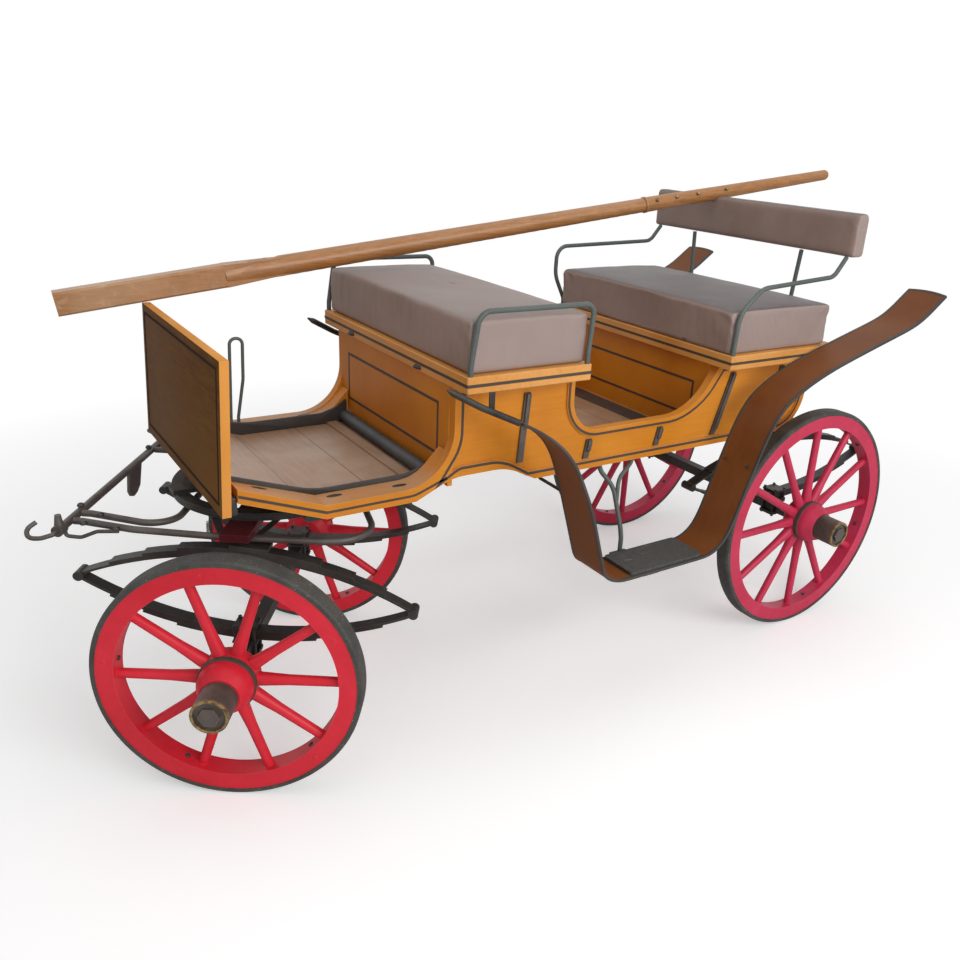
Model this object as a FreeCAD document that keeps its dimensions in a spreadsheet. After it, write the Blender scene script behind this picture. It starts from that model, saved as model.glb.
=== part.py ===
import FreeCAD, Part
import math
import os
from FreeCAD import Placement, Rotation, Vector

# A four-wheeled horse-drawn carriage: open wooden body with two bench seats, elliptic springs,
# a fore-carriage that turns under the body, spoked wheels, mudguards with steps, and its pole
# laid along the seats. X runs forward, Y to the left, Z up; the ground is at z = 0.
# Lengths along X are counted from the rear axle, and every sub-part is then moved by
# originShift, so that the whole carriage stands centred on the origin.

doc = FreeCAD.newDocument("carriage")
sheet = doc.addObject("Spreadsheet::Sheet", "dims")

# alias, millimetres (or degrees, or a count), what it is
DIMENSIONS = (
    ("originShift", -1126.5, "rear axle to the middle of the whole length"),
    ("wheelbase", 2187.0, "rear axle to king pin"),
    ("steerAngle", -33.85, "how far the fore-carriage is turned as it stands"),
    ("bodyHalfWidth", 468.0, "centre line to the outer face of a side"),
    ("sideThickness", 36.0, "side panel"),
    ("recessDepth", 8.0, "sunk field of a side panel"),
    ("bodyBottom", 884.0, "underside of the sides"),
    ("sillTop", 930.0, "tread ledge of the front footwell"),
    ("sillWidth", 94.0, "tread ledge, across"),
    ("boardThickness", 17.0, "floor boards"),
    ("seatHalfWidth", 567.0, "seat frames, centre line to side"),
    ("seatFrameHeight", 56.0, "seat frame rail, up and down"),
    ("frontSeatBottom", 1257.0, "underside of the front seat frame"),
    ("frontSeatFront", 1742.0, "front edge of the front seat frame"),
    ("frontSeatBack", 1254.0, "back edge of the front seat frame"),
    ("rearSeatBottom", 1220.0, "underside of the rear seat frame"),
    ("rearSeatFront", 569.0, "front edge of the rear seat frame"),
    ("rearSeatBack", -52.0, "back edge of the rear seat frame"),
    ("cushionHalfWidth", 540.0, "seat cushions"),
    ("cushionRise", 168.0, "seat board to cushion top"),
    ("dashFront", 2475.0, "front face of the dashboard"),
    ("dashThickness", 42.0, "dashboard"),
    ("dashHalfWidth", 443.0, "dashboard"),
    ("dashBottom", 938.0, "lower edge of the dashboard"),
    ("dashTop", 1402.0, "upper edge of the dashboard"),
    ("rearWheelRadius", 500.0, "rear wheel over the tyre"),
    ("frontWheelRadius", 414.0, "front wheel over the tyre"),
    ("tyreThickness", 18.0, "rubber tyre"),
    ("felloeHeight", 56.0, "wooden rim, radially"),
    ("rearWheelFace", 627.0, "centre line to the outer face of a rear rim"),
    ("frontWheelFace", 591.0, "the same on the turned front axle"),
    ("rearRimWidth", 62.0, "rear rim, axially"),
    ("frontRimWidth", 72.0, "front rim, axially"),
    ("rearSpokes", 12, "spokes in a rear wheel"),
    ("frontSpokes", 10, "spokes in a front wheel"),
    ("naveRadius", 90.0, "wooden nave where the spokes enter"),
    ("capRadius", 56.0, "hub cap"),
    ("capEnd", 168.0, "rim face to the open end of the cap"),
    ("axleBar", 44.0, "square axle bar"),
    ("axleArmRadius", 21.0, "round end of an axle inside the nave"),
    ("rearSpringOffset", 420.0, "centre line to a rear spring"),
    ("frontSpringOffset", 360.0, "centre line to a front spring"),
    ("springWidth", 45.0, "spring leaves, across"),
    ("leafThickness", 8.0, "one spring leaf"),
    ("rodRadius", 9.0, "seat and arm irons"),
    ("mudguardInner", 590.0, "centre line to the inner edge of a mudguard"),
    ("mudguardOuter", 770.0, "centre line to the outer edge of a mudguard"),
    ("mudguardThickness", 8.0, "mudguard board"),
    ("turntableRadius", 300.0, "middle of the turntable rings"),
    ("poleOffset", -470.0, "centre line to the stowed pole, over the dashboard"),
)
for row, (alias, value, note) in enumerate(DIMENSIONS, start=1):
    sheet.set(f"A{row}", alias)
    sheet.set(f"B{row}", str(value))
    sheet.set(f"C{row}", note)
    sheet.setAlias(f"B{row}", alias)
doc.recompute()


def size(alias):
    return float(sheet.get(alias))


nodes = []  # every sub-part, in the order in which it is made


# ---- outlines and helpers ----

def roundedEdges(points, closed=True):
    """Lines and tangent arcs through corner points (a, b, radius) or (x, y, z, radius)."""
    corners = [Vector(*p[:-1]) for p in points]
    radii = [p[-1] for p in points]
    count = len(corners)
    starts, ends, middles = [], [], []
    for i, corner in enumerate(corners):
        if radii[i] <= 0 or (not closed and i in (0, count - 1)):
            starts.append(corner)
            ends.append(corner)
            middles.append(None)
            continue
        before = (corner - corners[i - 1]).normalize()
        after = (corners[(i + 1) % count] - corner).normalize()
        turn = before.getAngle(after)
        setback = radii[i] * math.tan(turn / 2)
        inward = (after - before).normalize()
        starts.append(corner - before * setback)
        ends.append(corner + after * setback)
        middles.append(corner + inward * (radii[i] / math.cos(turn / 2) - radii[i]))
    edges = []
    for i in range(count):
        if middles[i] is not None:
            edges.append(Part.Arc(starts[i], middles[i], ends[i]))
        if closed or i < count - 1:
            target = starts[(i + 1) % count]
            if ends[i].distanceToPoint(target) > 1e-6:
                edges.append(Part.LineSegment(ends[i], target))
    return edges


def bandOutline(points, thickness):
    """Closed outline of a bent board whose middle line runs through (a, b, radius) corners."""
    half = thickness / 2
    sides = {1: [], -1: []}
    last = len(points) - 1
    for i, (a, b, radius) in enumerate(points):
        here = Vector(a, b)
        before = here - Vector(*points[i - 1][:2]) if i > 0 else Vector(*points[1][:2]) - here
        after = Vector(*points[i + 1][:2]) - here if i < last else before
        before.normalize()
        after.normalize()
        turn = before.x * after.y - before.y * after.x
        normal = Vector(-before.y - after.y, before.x + after.x).normalize()
        reach = half / math.cos(before.getAngle(after) / 2)
        for side in (1, -1):
            spot = here + normal * reach * side
            bend = radius - half * side if turn > 0 else radius + half * side
            sides[side].append((spot.x, spot.y, bend if radius > 0 else 0))
    return roundedEdges(sides[1] + sides[-1][::-1])


def newBody(label):
    body = doc.addObject("PartDesign::Body", label)
    body.Label = label
    nodes.append(body)
    return body


def origin(body, role):
    return next(f for f in body.Origin.OriginFeatures if f.Role == role)


def addSketch(body, role, edges, offset=Vector()):
    sketch = body.newObject("Sketcher::SketchObject", body.Label + "_sketch")
    sketch.AttachmentSupport = [(origin(body, role), "")]
    sketch.MapMode = "FlatFace"
    sketch.AttachmentOffset = Placement(offset, Rotation())
    sketch.addGeometry(edges, False)
    return sketch


def pad(body, sketch, length, inward=False, middle=False):
    """Extrude a sketch by a number of millimetres or by an expression on the sheet."""
    feature = body.newObject("PartDesign::Pad", body.Label + "_pad")
    feature.Profile = sketch
    feature.SideType = "Symmetric" if middle else "One side"
    feature.Reversed = inward
    if isinstance(length, str):
        feature.setExpression("Length", length)
    else:
        feature.Length = length
    return feature


def pocket(body, sketch, length, reverse=False):
    doc.recompute()
    before = body.Shape.Volume
    feature = body.newObject("PartDesign::Pocket", body.Label + "_pocket")
    feature.Profile = sketch
    feature.Reversed = reverse
    if isinstance(length, str):
        feature.setExpression("Length", length)
    else:
        feature.Length = length
    doc.recompute()
    if feature.Shape.Volume >= before:
        raise RuntimeError(f"{body.Label}: a pocket cuts nothing")
    return feature


def revolve(body, sketch, axis):
    feature = body.newObject("PartDesign::Revolution", body.Label + "_turned")
    feature.Profile = sketch
    feature.ReferenceAxis = axis
    feature.Angle = 360
    return feature


def box(x0, x1, y0, y1, z0, z1):
    return Part.makeBox(x1 - x0, y1 - y0, z1 - z0, Vector(x0, y0, z0))


def rectangle(a0, a1, b0, b1):
    return roundedEdges([(a0, b0, 0), (a1, b0, 0), (a1, b1, 0), (a0, b1, 0)])


def rod(points, radius):
    """Round bar along a path of corners (x, y, z, bend radius)."""
    path = Part.Wire([e.toShape() for e in roundedEdges(points, closed=False)])
    start = Vector(*points[0][:3])
    heading = (Vector(*points[1][:3]) - start).normalize()
    section = Part.Wire(Part.makeCircle(radius, start, heading))
    return path.makePipeShell([section], True, False)


def fuse(shapes):
    joined = shapes[0].multiFuse(shapes[1:]) if len(shapes) > 1 else shapes[0]
    return joined.removeSplitter()


def mirrored(shape):
    """The same piece on the other side of the centre line."""
    return shape.mirror(Vector(0, 0, 0), Vector(0, 1, 0))


def newFeature(label, shapes):
    feature = doc.addObject("Part::Feature", label)
    feature.Label = label
    feature.Shape = Part.makeCompound(shapes)
    nodes.append(feature)
    return feature


# ---- where the sub-parts stand ----

bodyNodes = []   # fixed to the carriage body
frontNodes = []  # turn with the fore-carriage

bodyPlace = Placement(Vector(size("originShift"), 0, 0), Rotation())
kingPin = Vector(size("originShift") + size("wheelbase"), 0, 0)
steering = Rotation(Vector(0, 0, 1), size("steerAngle"))
frontPlace = Placement(kingPin, steering)

halfWidth = size("bodyHalfWidth")
innerWidth = halfWidth - size("sideThickness")
bottom = size("bodyBottom")
sillTop = size("sillTop")
sillInner = halfWidth - size("sillWidth")
floorTop = bottom + size("boardThickness")
frontSeatZ = size("frontSeatBottom")
rearSeatZ = size("rearSeatBottom")

# ---- side panels ----

SILL_BACK, SILL_FRONT = 2172, 2432  # where the front sill starts to rise, and its end at the dashboard

# x, z, corner radius: up the front sweep, along under the seats with the cut-away entry between,
# and back along the lower edge with its arch over the turning wheels
SIDE_OUTLINE = (
    (SILL_BACK, sillTop, 0), (1725, sillTop, 185), (1725, frontSeatZ, 0), (1241, frontSeatZ, 0),
    (1241, 1032, 126), (640, 1032, 250), (516, rearSeatZ, 0), (-30, rearSeatZ, 0),
    (-30, bottom, 170), (1391, bottom, 0), (1512, 945, 220), (1728, 945, 220),
    (1862, bottom, 0), (SILL_BACK, bottom, 0),
)
# the sunk field, one band's width inside the outline
SIDE_FIELD = (
    (1690, 1222, 0), (1690, 1050, 150), (1756, 952, 0), (1706, 981, 60), (1530, 981, 190),
    (1420, 916, 0), (8, 916, 130), (8, 1186, 0), (494, 1186, 0), (618, 1006, 276),
    (1270, 1006, 152), (1270, 1222, 0),
)
# the tread ledge inside the front sill, which narrows into the sweep
LEDGE = (
    (SILL_BACK, sillTop, 0), (1825, sillTop, 150), (1731, 1028, 0), (1731, 946, 0),
    (1862, bottom, 0), (SILL_BACK, bottom, 0),
)


def sidePanel(label, side):
    body = newBody(label)
    bodyNodes.append(body)
    face = Vector(0, 0, -side * halfWidth)
    pad(body, addSketch(body, "XZ_Plane", roundedEdges(SIDE_OUTLINE), face), "dims.sideThickness", side < 0)
    pocket(body, addSketch(body, "XZ_Plane", roundedEdges(SIDE_FIELD), face), "dims.recessDepth", side > 0)
    pad(body, addSketch(body, "XZ_Plane", roundedEdges(LEDGE), face), "dims.sillWidth", side < 0)
    # the front of the sill rises to the dashboard and draws in beside it
    back = addSketch(body, "YZ_Plane", rectangle(*sorted((side * sillInner, side * halfWidth)), bottom, sillTop),
                     Vector(0, 0, SILL_BACK))
    front = addSketch(body, "YZ_Plane", rectangle(*sorted((side * 362, side * 447)), 977, 1021),
                      Vector(0, 0, SILL_FRONT))
    nose = body.newObject("PartDesign::AdditiveLoft", label + "_nose")
    nose.Profile = back
    nose.Sections = [front]
    nose.Ruled = True
    return body


for sideName, side in (("left", 1), ("right", -1)):
    sidePanel("side_panel_" + sideName, side)


# ---- floors, seat boxes, dashboard ----

# x, z, corner radius of the middle of the boards
FLOOR_LINE = (
    (-30, bottom + 8.5, 0), (1400, bottom + 8.5, 0), (1515, 955, 0), (1695, 955, 0),
)
FOOTWELL_LINE = (
    (1700, bottom + 8.5, 0), (SILL_BACK, bottom + 8.5, 0), (2427, 982, 0),
)


def bentBoards(label, line, halfSpan):
    body = newBody(label)
    bodyNodes.append(body)
    outline = bandOutline(line, size("boardThickness"))
    pad(body, addSketch(body, "XZ_Plane", outline), 2 * halfSpan, middle=True)
    return body


bentBoards("floor_boards", FLOOR_LINE, innerWidth)
footwell = bentBoards("footwell_boards", FOOTWELL_LINE, 361.5)
batten = addSketch(footwell, "XZ_Plane", rectangle(1788, 1830, floorTop - 4, floorTop + 8))
pad(footwell, batten, 2 * 361.5, middle=True)


def seatBox(label, front, back, low, top):
    """Front and back board of a seat box under its top board, open below."""
    board = 18
    shapes = [box(front - board, front, -innerWidth, innerWidth, low, top),
              box(back, back + board, -innerWidth, innerWidth, low, top),
              box(back, front, -innerWidth, innerWidth, top - board, top)]
    feature = newFeature(label, [fuse(shapes)])
    bodyNodes.append(feature)


seatBox("front_seat_box", 1728, 1250, floorTop, frontSeatZ)
seatBox("rear_seat_box", 536, -30, floorTop, rearSeatZ)


def seatFrame(label, front, back, low):
    """Seat board and the rail round it."""
    body = newBody(label)
    bodyNodes.append(body)
    half = size("seatHalfWidth")
    outline = addSketch(body, "XY_Plane", rectangle(back, front, -half, half), Vector(0, 0, low))
    board = pad(body, outline, "dims.seatFrameHeight")
    doc.recompute()
    edge = body.newObject("PartDesign::Chamfer", label + "_edge")
    edge.Base = (board, [f"Edge{i}" for i in range(1, 13)])
    edge.Size = 3


seatFrame("front_seat_frame", size("frontSeatFront"), size("frontSeatBack"), frontSeatZ)
seatFrame("rear_seat_frame", size("rearSeatFront"), size("rearSeatBack"), rearSeatZ)


def cushion(label, front, back, low, high):
    body = newBody(label)
    bodyNodes.append(body)
    half = size("cushionHalfWidth")
    outline = roundedEdges([(back, -half, 30), (front, -half, 30), (front, half, 30), (back, half, 30)])
    pad(body, addSketch(body, "XY_Plane", outline, Vector(0, 0, low)), high - low)


frontSeatTop = frontSeatZ + size("seatFrameHeight")
rearSeatTop = rearSeatZ + size("seatFrameHeight")
cushion("front_cushion", 1706, 1281, frontSeatTop + 0.5, frontSeatTop + size("cushionRise") - 6)
cushion("rear_cushion", 563, 0, rearSeatTop + 0.5, rearSeatTop + size("cushionRise") - 6)


def backrest():
    """Padded board across the back of the rear seat, leaning back a little."""
    body = newBody("backrest")
    bodyNodes.append(body)
    outline = roundedEdges([(-72, 1632, 12), (-20, 1632, 12), (-52, 1788, 14), (-92, 1788, 14)])
    pad(body, addSketch(body, "XZ_Plane", outline), 2 * 590, middle=True)


backrest()


def dashboard():
    body = newBody("dashboard")
    bodyNodes.append(body)
    half = size("dashHalfWidth")
    outline = rectangle(-half, half, size("dashBottom"), size("dashTop"))
    front = addSketch(body, "YZ_Plane", outline, Vector(0, 0, size("dashFront")))
    board = pad(body, front, "dims.dashThickness", True)
    doc.recompute()
    edge = body.newObject("PartDesign::Chamfer", "dashboard_edge")
    edge.Base = (board, [f"Edge{i}" for i in range(1, 13)])
    edge.Size = 3


dashboard()

# ---- irons on the body ----

rodRadius = size("rodRadius")
railY = size("seatHalfWidth") - 10
# x, z, bend radius of the rail at each end of the front seat, seen from the side
SEAT_RAIL = (
    (1727, frontSeatTop + 0.2, 0), (1727, frontSeatTop + 30, 90), (1700, 1514, 48), (1255, 1514, 34),
    (1268, frontSeatTop + 30, 90), (1268, frontSeatTop + 0.2, 0),
)
# x, z, bend radius of an arm iron, from the rear seat frame up to the backrest
ARM_IRON = (
    (556, rearSeatTop + 0.2, 0), (556, rearSeatTop + 25, 60), (548, 1440, 120), (440, 1527, 90),
    (30, 1556, 60), (-30, 1632, 0),
)
# the right one stands bent further forward, as it has been knocked
ARM_IRON_RIGHT = (
    (548, rearSeatTop + 0.2, 0), (548, rearSeatTop + 25, 50), (604, 1410, 140), (602, 1541, 58),
    (32, 1559, 62), (-30, 1631.8, 0),
)


def pairOf(label, shapeAt, home=bodyNodes):
    shape = shapeAt()
    home.append(newFeature(label, [shape, mirrored(shape)]))


pairOf("front_seat_rails", lambda: rod([(x, railY, z, r) for x, z, r in SEAT_RAIL], rodRadius))
bodyNodes.append(newFeature("arm_irons", [
    rod([(x, side * railY, z, r) for x, z, r in line], rodRadius)
    for side, line in ((1, ARM_IRON), (-1, ARM_IRON_RIGHT))]))
pairOf("backrest_irons", lambda: rod([(-30, 300, rearSeatTop + 0.2, 0), (-30, 300, rearSeatTop + 30, 60),
                                       (-36, 322, 1631, 0)], rodRadius))


def whipLoop():
    """Hairpin of thin rod standing on the right sill behind the dashboard."""
    y = -sillInner - 46
    path = ((2158, y, sillTop + 0.2, 0), (2158, y, 955, 30), (2132, y, 1100, 120), (2126, y, 1257, 23),
            (2174, y, 1257, 23), (2186, y, 955, 30), (2186, y, sillTop + 7.4, 0))
    bodyNodes.append(newFeature("whip_loop", [rod(path, 6)]))


whipLoop()

# x and z of the upper end, x and z of the lower end of the irons that bind the sides
BODY_STRAPS = ((1429, 1206, 1448, 956), (1143, 997, 1155, 925), (792, 997, 810, 925), (422, 1178, 503, 925),
               (130, 1178, 140, 925))
STRAP_WIDTH = 24


def bodyStraps():
    face = halfWidth - size("recessDepth")
    shapes = []
    for topX, topZ, lowX, lowZ in BODY_STRAPS:
        corners = [Vector(topX, face, topZ), Vector(topX + STRAP_WIDTH, face, topZ),
                   Vector(lowX + STRAP_WIDTH, face, lowZ), Vector(lowX, face, lowZ)]
        plate = Part.Face(Part.makePolygon(corners + corners[:1])).extrude(Vector(0, 9, 0))
        shapes += [plate, mirrored(plate)]
    bodyNodes.append(newFeature("body_straps", shapes))


bodyStraps()


def toeRoll():
    """Rubber roll along the foot of the front seat box."""
    roll = Part.makeCylinder(24, 2 * 361, Vector(1753, -361, floorTop + 24.2), Vector(0, 1, 0))
    bodyNodes.append(newFeature("toe_roll", [roll]))


toeRoll()

# ---- mudguards and steps ----

# x, z, corner radius of the middle of the board, from its front tip to its tail
MUDGUARD_LINE = (
    (1560, 1152, 0), (1500, 1122, 200), (1395, 985, 240), (1281, 600, 42), (1206, 565, 60),
    (689, 565, 110), (496, 1156, 230), (-290, 1390, 300), (-452, 1488, 0),
)
# x, y of the edge cut from the outer side: the narrow front bar that widens into the board
MUDGUARD_TAPER = (
    (1700, 612, 0), (1560, 622, 300), (1440, 690, 120), (1372, 790, 0), (1372, 900, 0), (1700, 900, 0),
)


def mudguard(label, side):
    body = newBody(label)
    bodyNodes.append(body)
    line = addSketch(body, "XZ_Plane", bandOutline(MUDGUARD_LINE, size("mudguardThickness")),
                     Vector(0, 0, -side * size("mudguardInner")))
    pad(body, line, "dims.mudguardOuter - dims.mudguardInner", side > 0)
    taper = roundedEdges([(x, side * y, r) for x, y, r in MUDGUARD_TAPER])
    pocket(body, addSketch(body, "XY_Plane", taper, Vector(0, 0, 1300)), 800)
    # the tail is cut on the slant
    tail = roundedEdges([(x, side * y, 0) for x, y in ((-405, 560), (-470, 800), (-600, 800), (-600, 560))])
    pocket(body, addSketch(body, "XY_Plane", tail, Vector(0, 0, 1550)), 300)


for sideName, side in (("left", 1), ("right", -1)):
    mudguard("mudguard_" + sideName, side)

stepTop = 567.0


def stepPad():
    outline = roundedEdges([(800, 600, 14), (1150, 600, 14), (1150, 762, 14), (800, 762, 14)])
    wire = Part.Wire([e.toShape() for e in outline])
    wire.translate(Vector(0, 0, 569.1))
    return Part.Face(wire).extrude(Vector(0, 0, 13.4))


pairOf("step_pads", stepPad)


def stepIron():
    """Forked iron that carries the step from the body's underside."""
    stem = rod([(1082, 452, bottom - 0.2, 0), (1082, 452, 862, 50), (1042, 496, 800, 110), (1046, 562, 660, 120),
                (1046, 572, 620, 60), (1046, 572, 554, 0)], rodRadius)
    branch = rod([(922, 452, bottom - 0.2, 0), (922, 452, 868, 30), (1024, 500, 832, 60), (1043, 522, 745, 0)],
                 rodRadius - 1)
    foot = box(1010, 1084, 556, 756, 549, 560.8)
    return fuse([stem, branch, foot])


pairOf("step_irons", stepIron)


def mudguardStay():
    """Iron bar that carries on the board's front end, hung under the front seat, and a brace behind the board."""
    bar = rod([(1561, 598, 1152.5, 0), (1700, 584, 1218, 200), (1792, 570, 1270, 0)], 11)
    point = Part.makeCone(11, 3, 26, Vector(1792, 570, 1270), Vector(92, -14, 52))
    hanger = box(1638, 1658, 561, 567, 1200, frontSeatZ - 0.2)
    brace = rod([(1347, 430, bottom - 0.2, 0), (1347, 430, 868, 12), (1347, 690, 866, 0)], 6)
    return Part.makeCompound([fuse([bar, point, hanger]), brace])


pairOf("mudguard_hangers", mudguardStay)


# ---- pole ----

# distance from the butt and radius of the round part, on both sides of its collar
POLE_TAPER = ((560, 39, 2400, 30.5), (2400, 32.5, 3470, 24))


def pole():
    """Draught pole laid over the dashboard and the backrest: square butt, long taper, thinner tip."""
    rest = Vector(2452, size("poleOffset"), size("dashTop") + 40.5)
    over = Vector(-60, -213, 1819)
    along = (over - rest).normalize()
    across = Vector(0, 0, 1).cross(along).normalize()
    up = along.cross(across)
    butt = rest - along * 273
    corners = [butt + across * (34 * a) + up * (40 * b) for a, b in ((1, 1), (-1, 1), (-1, -1), (1, -1), (1, 1))]
    square = Part.Face(Part.makePolygon(corners)).extrude(along * 560)
    square = square.makeChamfer(7, [e for e in square.Edges if e.Length > 500])
    # the square butt runs out into the round pole
    neck = [Part.makePolygon([butt + along * 560 + (c - butt) for c in corners]),
            Part.makePolygon([butt + along * 900 + (c - butt) * 0.62 for c in corners])]
    square = square.fuse(Part.makeLoft(neck, True))
    tapers = [Part.makeCone(r0, r1, end - start, butt + along * start, along) for start, r0, end, r1 in POLE_TAPER]
    tip = Part.makeSphere(24, butt + along * 3470)
    bodyNodes.append(newFeature("draught_pole", [fuse([square] + tapers + [tip])]))


pole()


# ---- springs, axles and turntable ----

def ellipticSpring(halfLength, rise, leaves, middle, offset):
    """Full elliptic spring: two leaf packs that meet in round eyes."""
    thickness = size("leafThickness")
    width = size("springWidth")
    radius = (halfLength ** 2 + rise ** 2) / (2 * rise)
    sweep = math.asin(halfLength / radius)
    shapes = []
    for upward in (1, -1):
        centre = middle + upward * (rise - radius)
        for leaf in range(leaves):
            inner = radius + leaf * thickness
            outer = inner + thickness
            angle = sweep * (1 - 0.2 * leaf)
            spots = [Vector(r * math.sin(a), offset - width / 2, centre + upward * r * math.cos(a))
                     for r, a in ((inner, -angle), (inner, 0), (inner, angle), (outer, angle), (outer, 0),
                                  (outer, -angle))]
            edges = [Part.Arc(*spots[:3]).toShape(), Part.LineSegment(spots[2], spots[3]).toShape(),
                     Part.Arc(*spots[3:]).toShape(), Part.LineSegment(spots[5], spots[0]).toShape()]
            shapes.append(Part.Face(Part.Wire(edges)).extrude(Vector(0, width, 0)))
    for x in (-halfLength, halfLength):
        shapes.append(Part.makeCylinder(16, width + 12, Vector(x, offset - width / 2 - 6, middle), Vector(0, 1, 0)))
    return fuse(shapes)


REAR_SPRING = {"halfLength": 560, "rise": 118, "leaves": 4, "middle": 690}
FRONT_SPRING = {"halfLength": 528, "rise": 128, "leaves": 4, "middle": 606}
FRONT_SPRING_TILT = -4.7  # degrees: the front eyes stand higher

pairOf("rear_springs", lambda: ellipticSpring(offset=size("rearSpringOffset"), **REAR_SPRING))


def axle(label, halfSpan, armEnd, z, home):
    """Square bar that becomes a round arm inside each nave."""
    bar = size("axleBar") / 2
    shapes = [box(-bar, bar, -halfSpan, halfSpan, z - bar, z + bar),
              Part.makeCylinder(size("axleArmRadius"), 2 * armEnd, Vector(0, -armEnd, z), Vector(0, 1, 0))]
    home.append(newFeature(label, [fuse(shapes)]))


rearAxleZ = size("rearWheelRadius")
frontAxleZ = size("frontWheelRadius")
axle("rear_axle", 530, 700, rearAxleZ, bodyNodes)
axle("front_axle", 485, 664, frontAxleZ, frontNodes)


def springClamp(offset, axleZ, packBottom, packTop, seatTop, slack=0):
    """Blocks above and below a spring, with bolts down both sides of the leaves."""
    half = size("springWidth") / 2
    bar = size("axleBar") / 2
    shapes = [box(-40, 40, offset - half - 14, offset + half + 14, axleZ + bar, packBottom - slack),
              box(-38, 38, offset - half - 14, offset + half + 14, packBottom + 33 + slack, packBottom + 43 + slack),
              box(-38, 38, offset - half - 14, offset + half + 14, axleZ - bar - 12, axleZ - bar)]
    for x in (-30, 30):
        for y in (offset - half - 8, offset + half + 8):
            length = packBottom + 50 + slack - (axleZ - bar - 18)
            shapes.append(Part.makeCylinder(6, length, Vector(x, y, axleZ - bar - 18)))
    lower = fuse(shapes)
    upper = box(-60, 60, offset - half - 10, offset + half + 10, packTop, seatTop)
    return lower, upper


def packLimits(spring):
    """Underside of the lower leaf pack and top of the upper one, in the middle."""
    reach = spring["rise"] + spring["leaves"] * size("leafThickness")
    return spring["middle"] - reach, spring["middle"] + reach


def rearClamps():
    low, high = packLimits(REAR_SPRING)
    return Part.makeCompound(list(springClamp(size("rearSpringOffset"), rearAxleZ, low, high, bottom)))


pairOf("rear_spring_clamps", rearClamps)


# ---- fore-carriage, drawn straight ahead about the king pin ----

def frontSprings():
    spring = ellipticSpring(offset=size("frontSpringOffset"), **FRONT_SPRING)
    spring.rotate(Vector(0, 0, frontAxleZ), Vector(0, 1, 0), FRONT_SPRING_TILT)
    return spring


pairOf("front_springs", frontSprings, frontNodes)


def frontClamps():
    low, high = packLimits(FRONT_SPRING)
    lower, upper = springClamp(size("frontSpringOffset"), frontAxleZ, low, high, high + 14, 4)
    upper.rotate(Vector(0, 0, frontAxleZ), Vector(0, 1, 0), FRONT_SPRING_TILT)
    return Part.makeCompound([lower, upper])


pairOf("front_spring_clamps", frontClamps, frontNodes)

armZ = 802.0
armRadius = 11.0
ringZ = 838.0
barX, barZ, barHalf = 525, 828, 425


def futchellIrons():
    """One round iron loop over both springs, with a second iron bowed across in front."""
    y = size("frontSpringOffset")
    outer = ((barX - 13.5, y, barZ, 0), (barX - 40, y, barZ, 80), (330, y + 8, 812, 300), (60, y + 10, armZ, 300), (-250, y + 10, armZ, 200),
             (-430, y - 10, armZ, 120), (-310, 0, armZ, 150))
    loop = outer + tuple((x, -yy, z, r) for x, yy, z, r in outer[-2::-1])
    bow = ((barX - 13.5, y - 60, barZ, 0), (barX - 40, y - 60, barZ, 60), (225, y - 20, 812, 90))
    bow += tuple((x, -yy, z, r) for x, yy, z, r in bow[::-1])
    brace = rod([(barX - 2, 398, barZ - 18.4, 0), (barX - 2, 398, barZ - 34, 12), (480, 392, 788, 30),
                 (430, 390, 810, 30), (366, 386, 812, 0)], 6)
    return [rod(loop, armRadius), rod(bow, armRadius), brace, mirrored(brace)]


frontNodes.append(newFeature("futchell_irons", futchellIrons()))


def splinterBar():
    """Round bar across the front with a ferrule at each end and a wear plate hung from it."""
    shapes = [Part.makeCylinder(13, 2 * barHalf, Vector(barX, -barHalf, barZ), Vector(0, 1, 0))]
    for side in (1, -1):
        shapes.append(Part.makeCylinder(18, 36, Vector(barX, side * barHalf - 18, barZ), Vector(0, 1, 0)))
        shapes.append(Part.makeCone(14, 9, 36, Vector(barX, side * barHalf, barZ + 12)))
    plate = ((-190, -6), (-78, -4), (-62, -76), (-76, -98), (-98, -106), (-130, -101), (-158, -84), (-190, -6))
    wear = Part.Face(Part.makePolygon([Vector(barX - 6, y, barZ + z) for y, z in plate]))
    shapes.append(wear.extrude(Vector(9, 0, 0)))
    return fuse(shapes)


frontNodes.append(newFeature("splinter_bar", [splinterBar()]))


def traceHook():
    """Hook that a trace slips over, forged out of the end of the bar."""
    end = barHalf + 18
    path = ((barX, end + 0.3, barZ, 0), (barX, end + 20, barZ, 16), (barX + 30, end + 38, barZ - 6, 40),
            (barX + 62, end + 50, barZ - 2, 20), (barX + 76, end + 24, barZ + 16, 24), (barX + 56, end + 2, barZ + 30, 0))
    return rod(path, 7)


pairOf("trace_hooks", traceHook, frontNodes)


def bolster():
    """Wooden bed across the two irons, under the turntable."""
    shapes = [box(-45, 45, -430, 430, armZ + armRadius, ringZ)]
    pin = Part.makeCylinder(14, 76, Vector(0, 0, 800))
    return [fuse(shapes + [pin])]


frontNodes.append(newFeature("bolster", bolster()))


def ring(radius, width, low, high):
    outer = Part.makeCylinder(radius + width / 2, high - low, Vector(0, 0, low))
    return outer.cut(Part.makeCylinder(radius - width / 2, high - low, Vector(0, 0, low)))


frontNodes.append(newFeature("lower_turntable", [ring(size("turntableRadius"), 40, ringZ, ringZ + 12)]))


def ringStays():
    """Flat irons from the loop up to the lower ring, in front of and behind the bed."""
    foot = Part.Face(Part.Wire([e.toShape() for e in rectangle(46, 70, 364, 371)]))
    foot.translate(Vector(0, 0, armZ + armRadius + 0.2))
    stay = foot.extrude(Vector(40, -70, ringZ - armZ - armRadius - 0.4))
    return Part.makeCompound([stay, stay.mirror(Vector(), Vector(1, 0, 0))])


pairOf("fore_ring_stays", ringStays, frontNodes)


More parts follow.
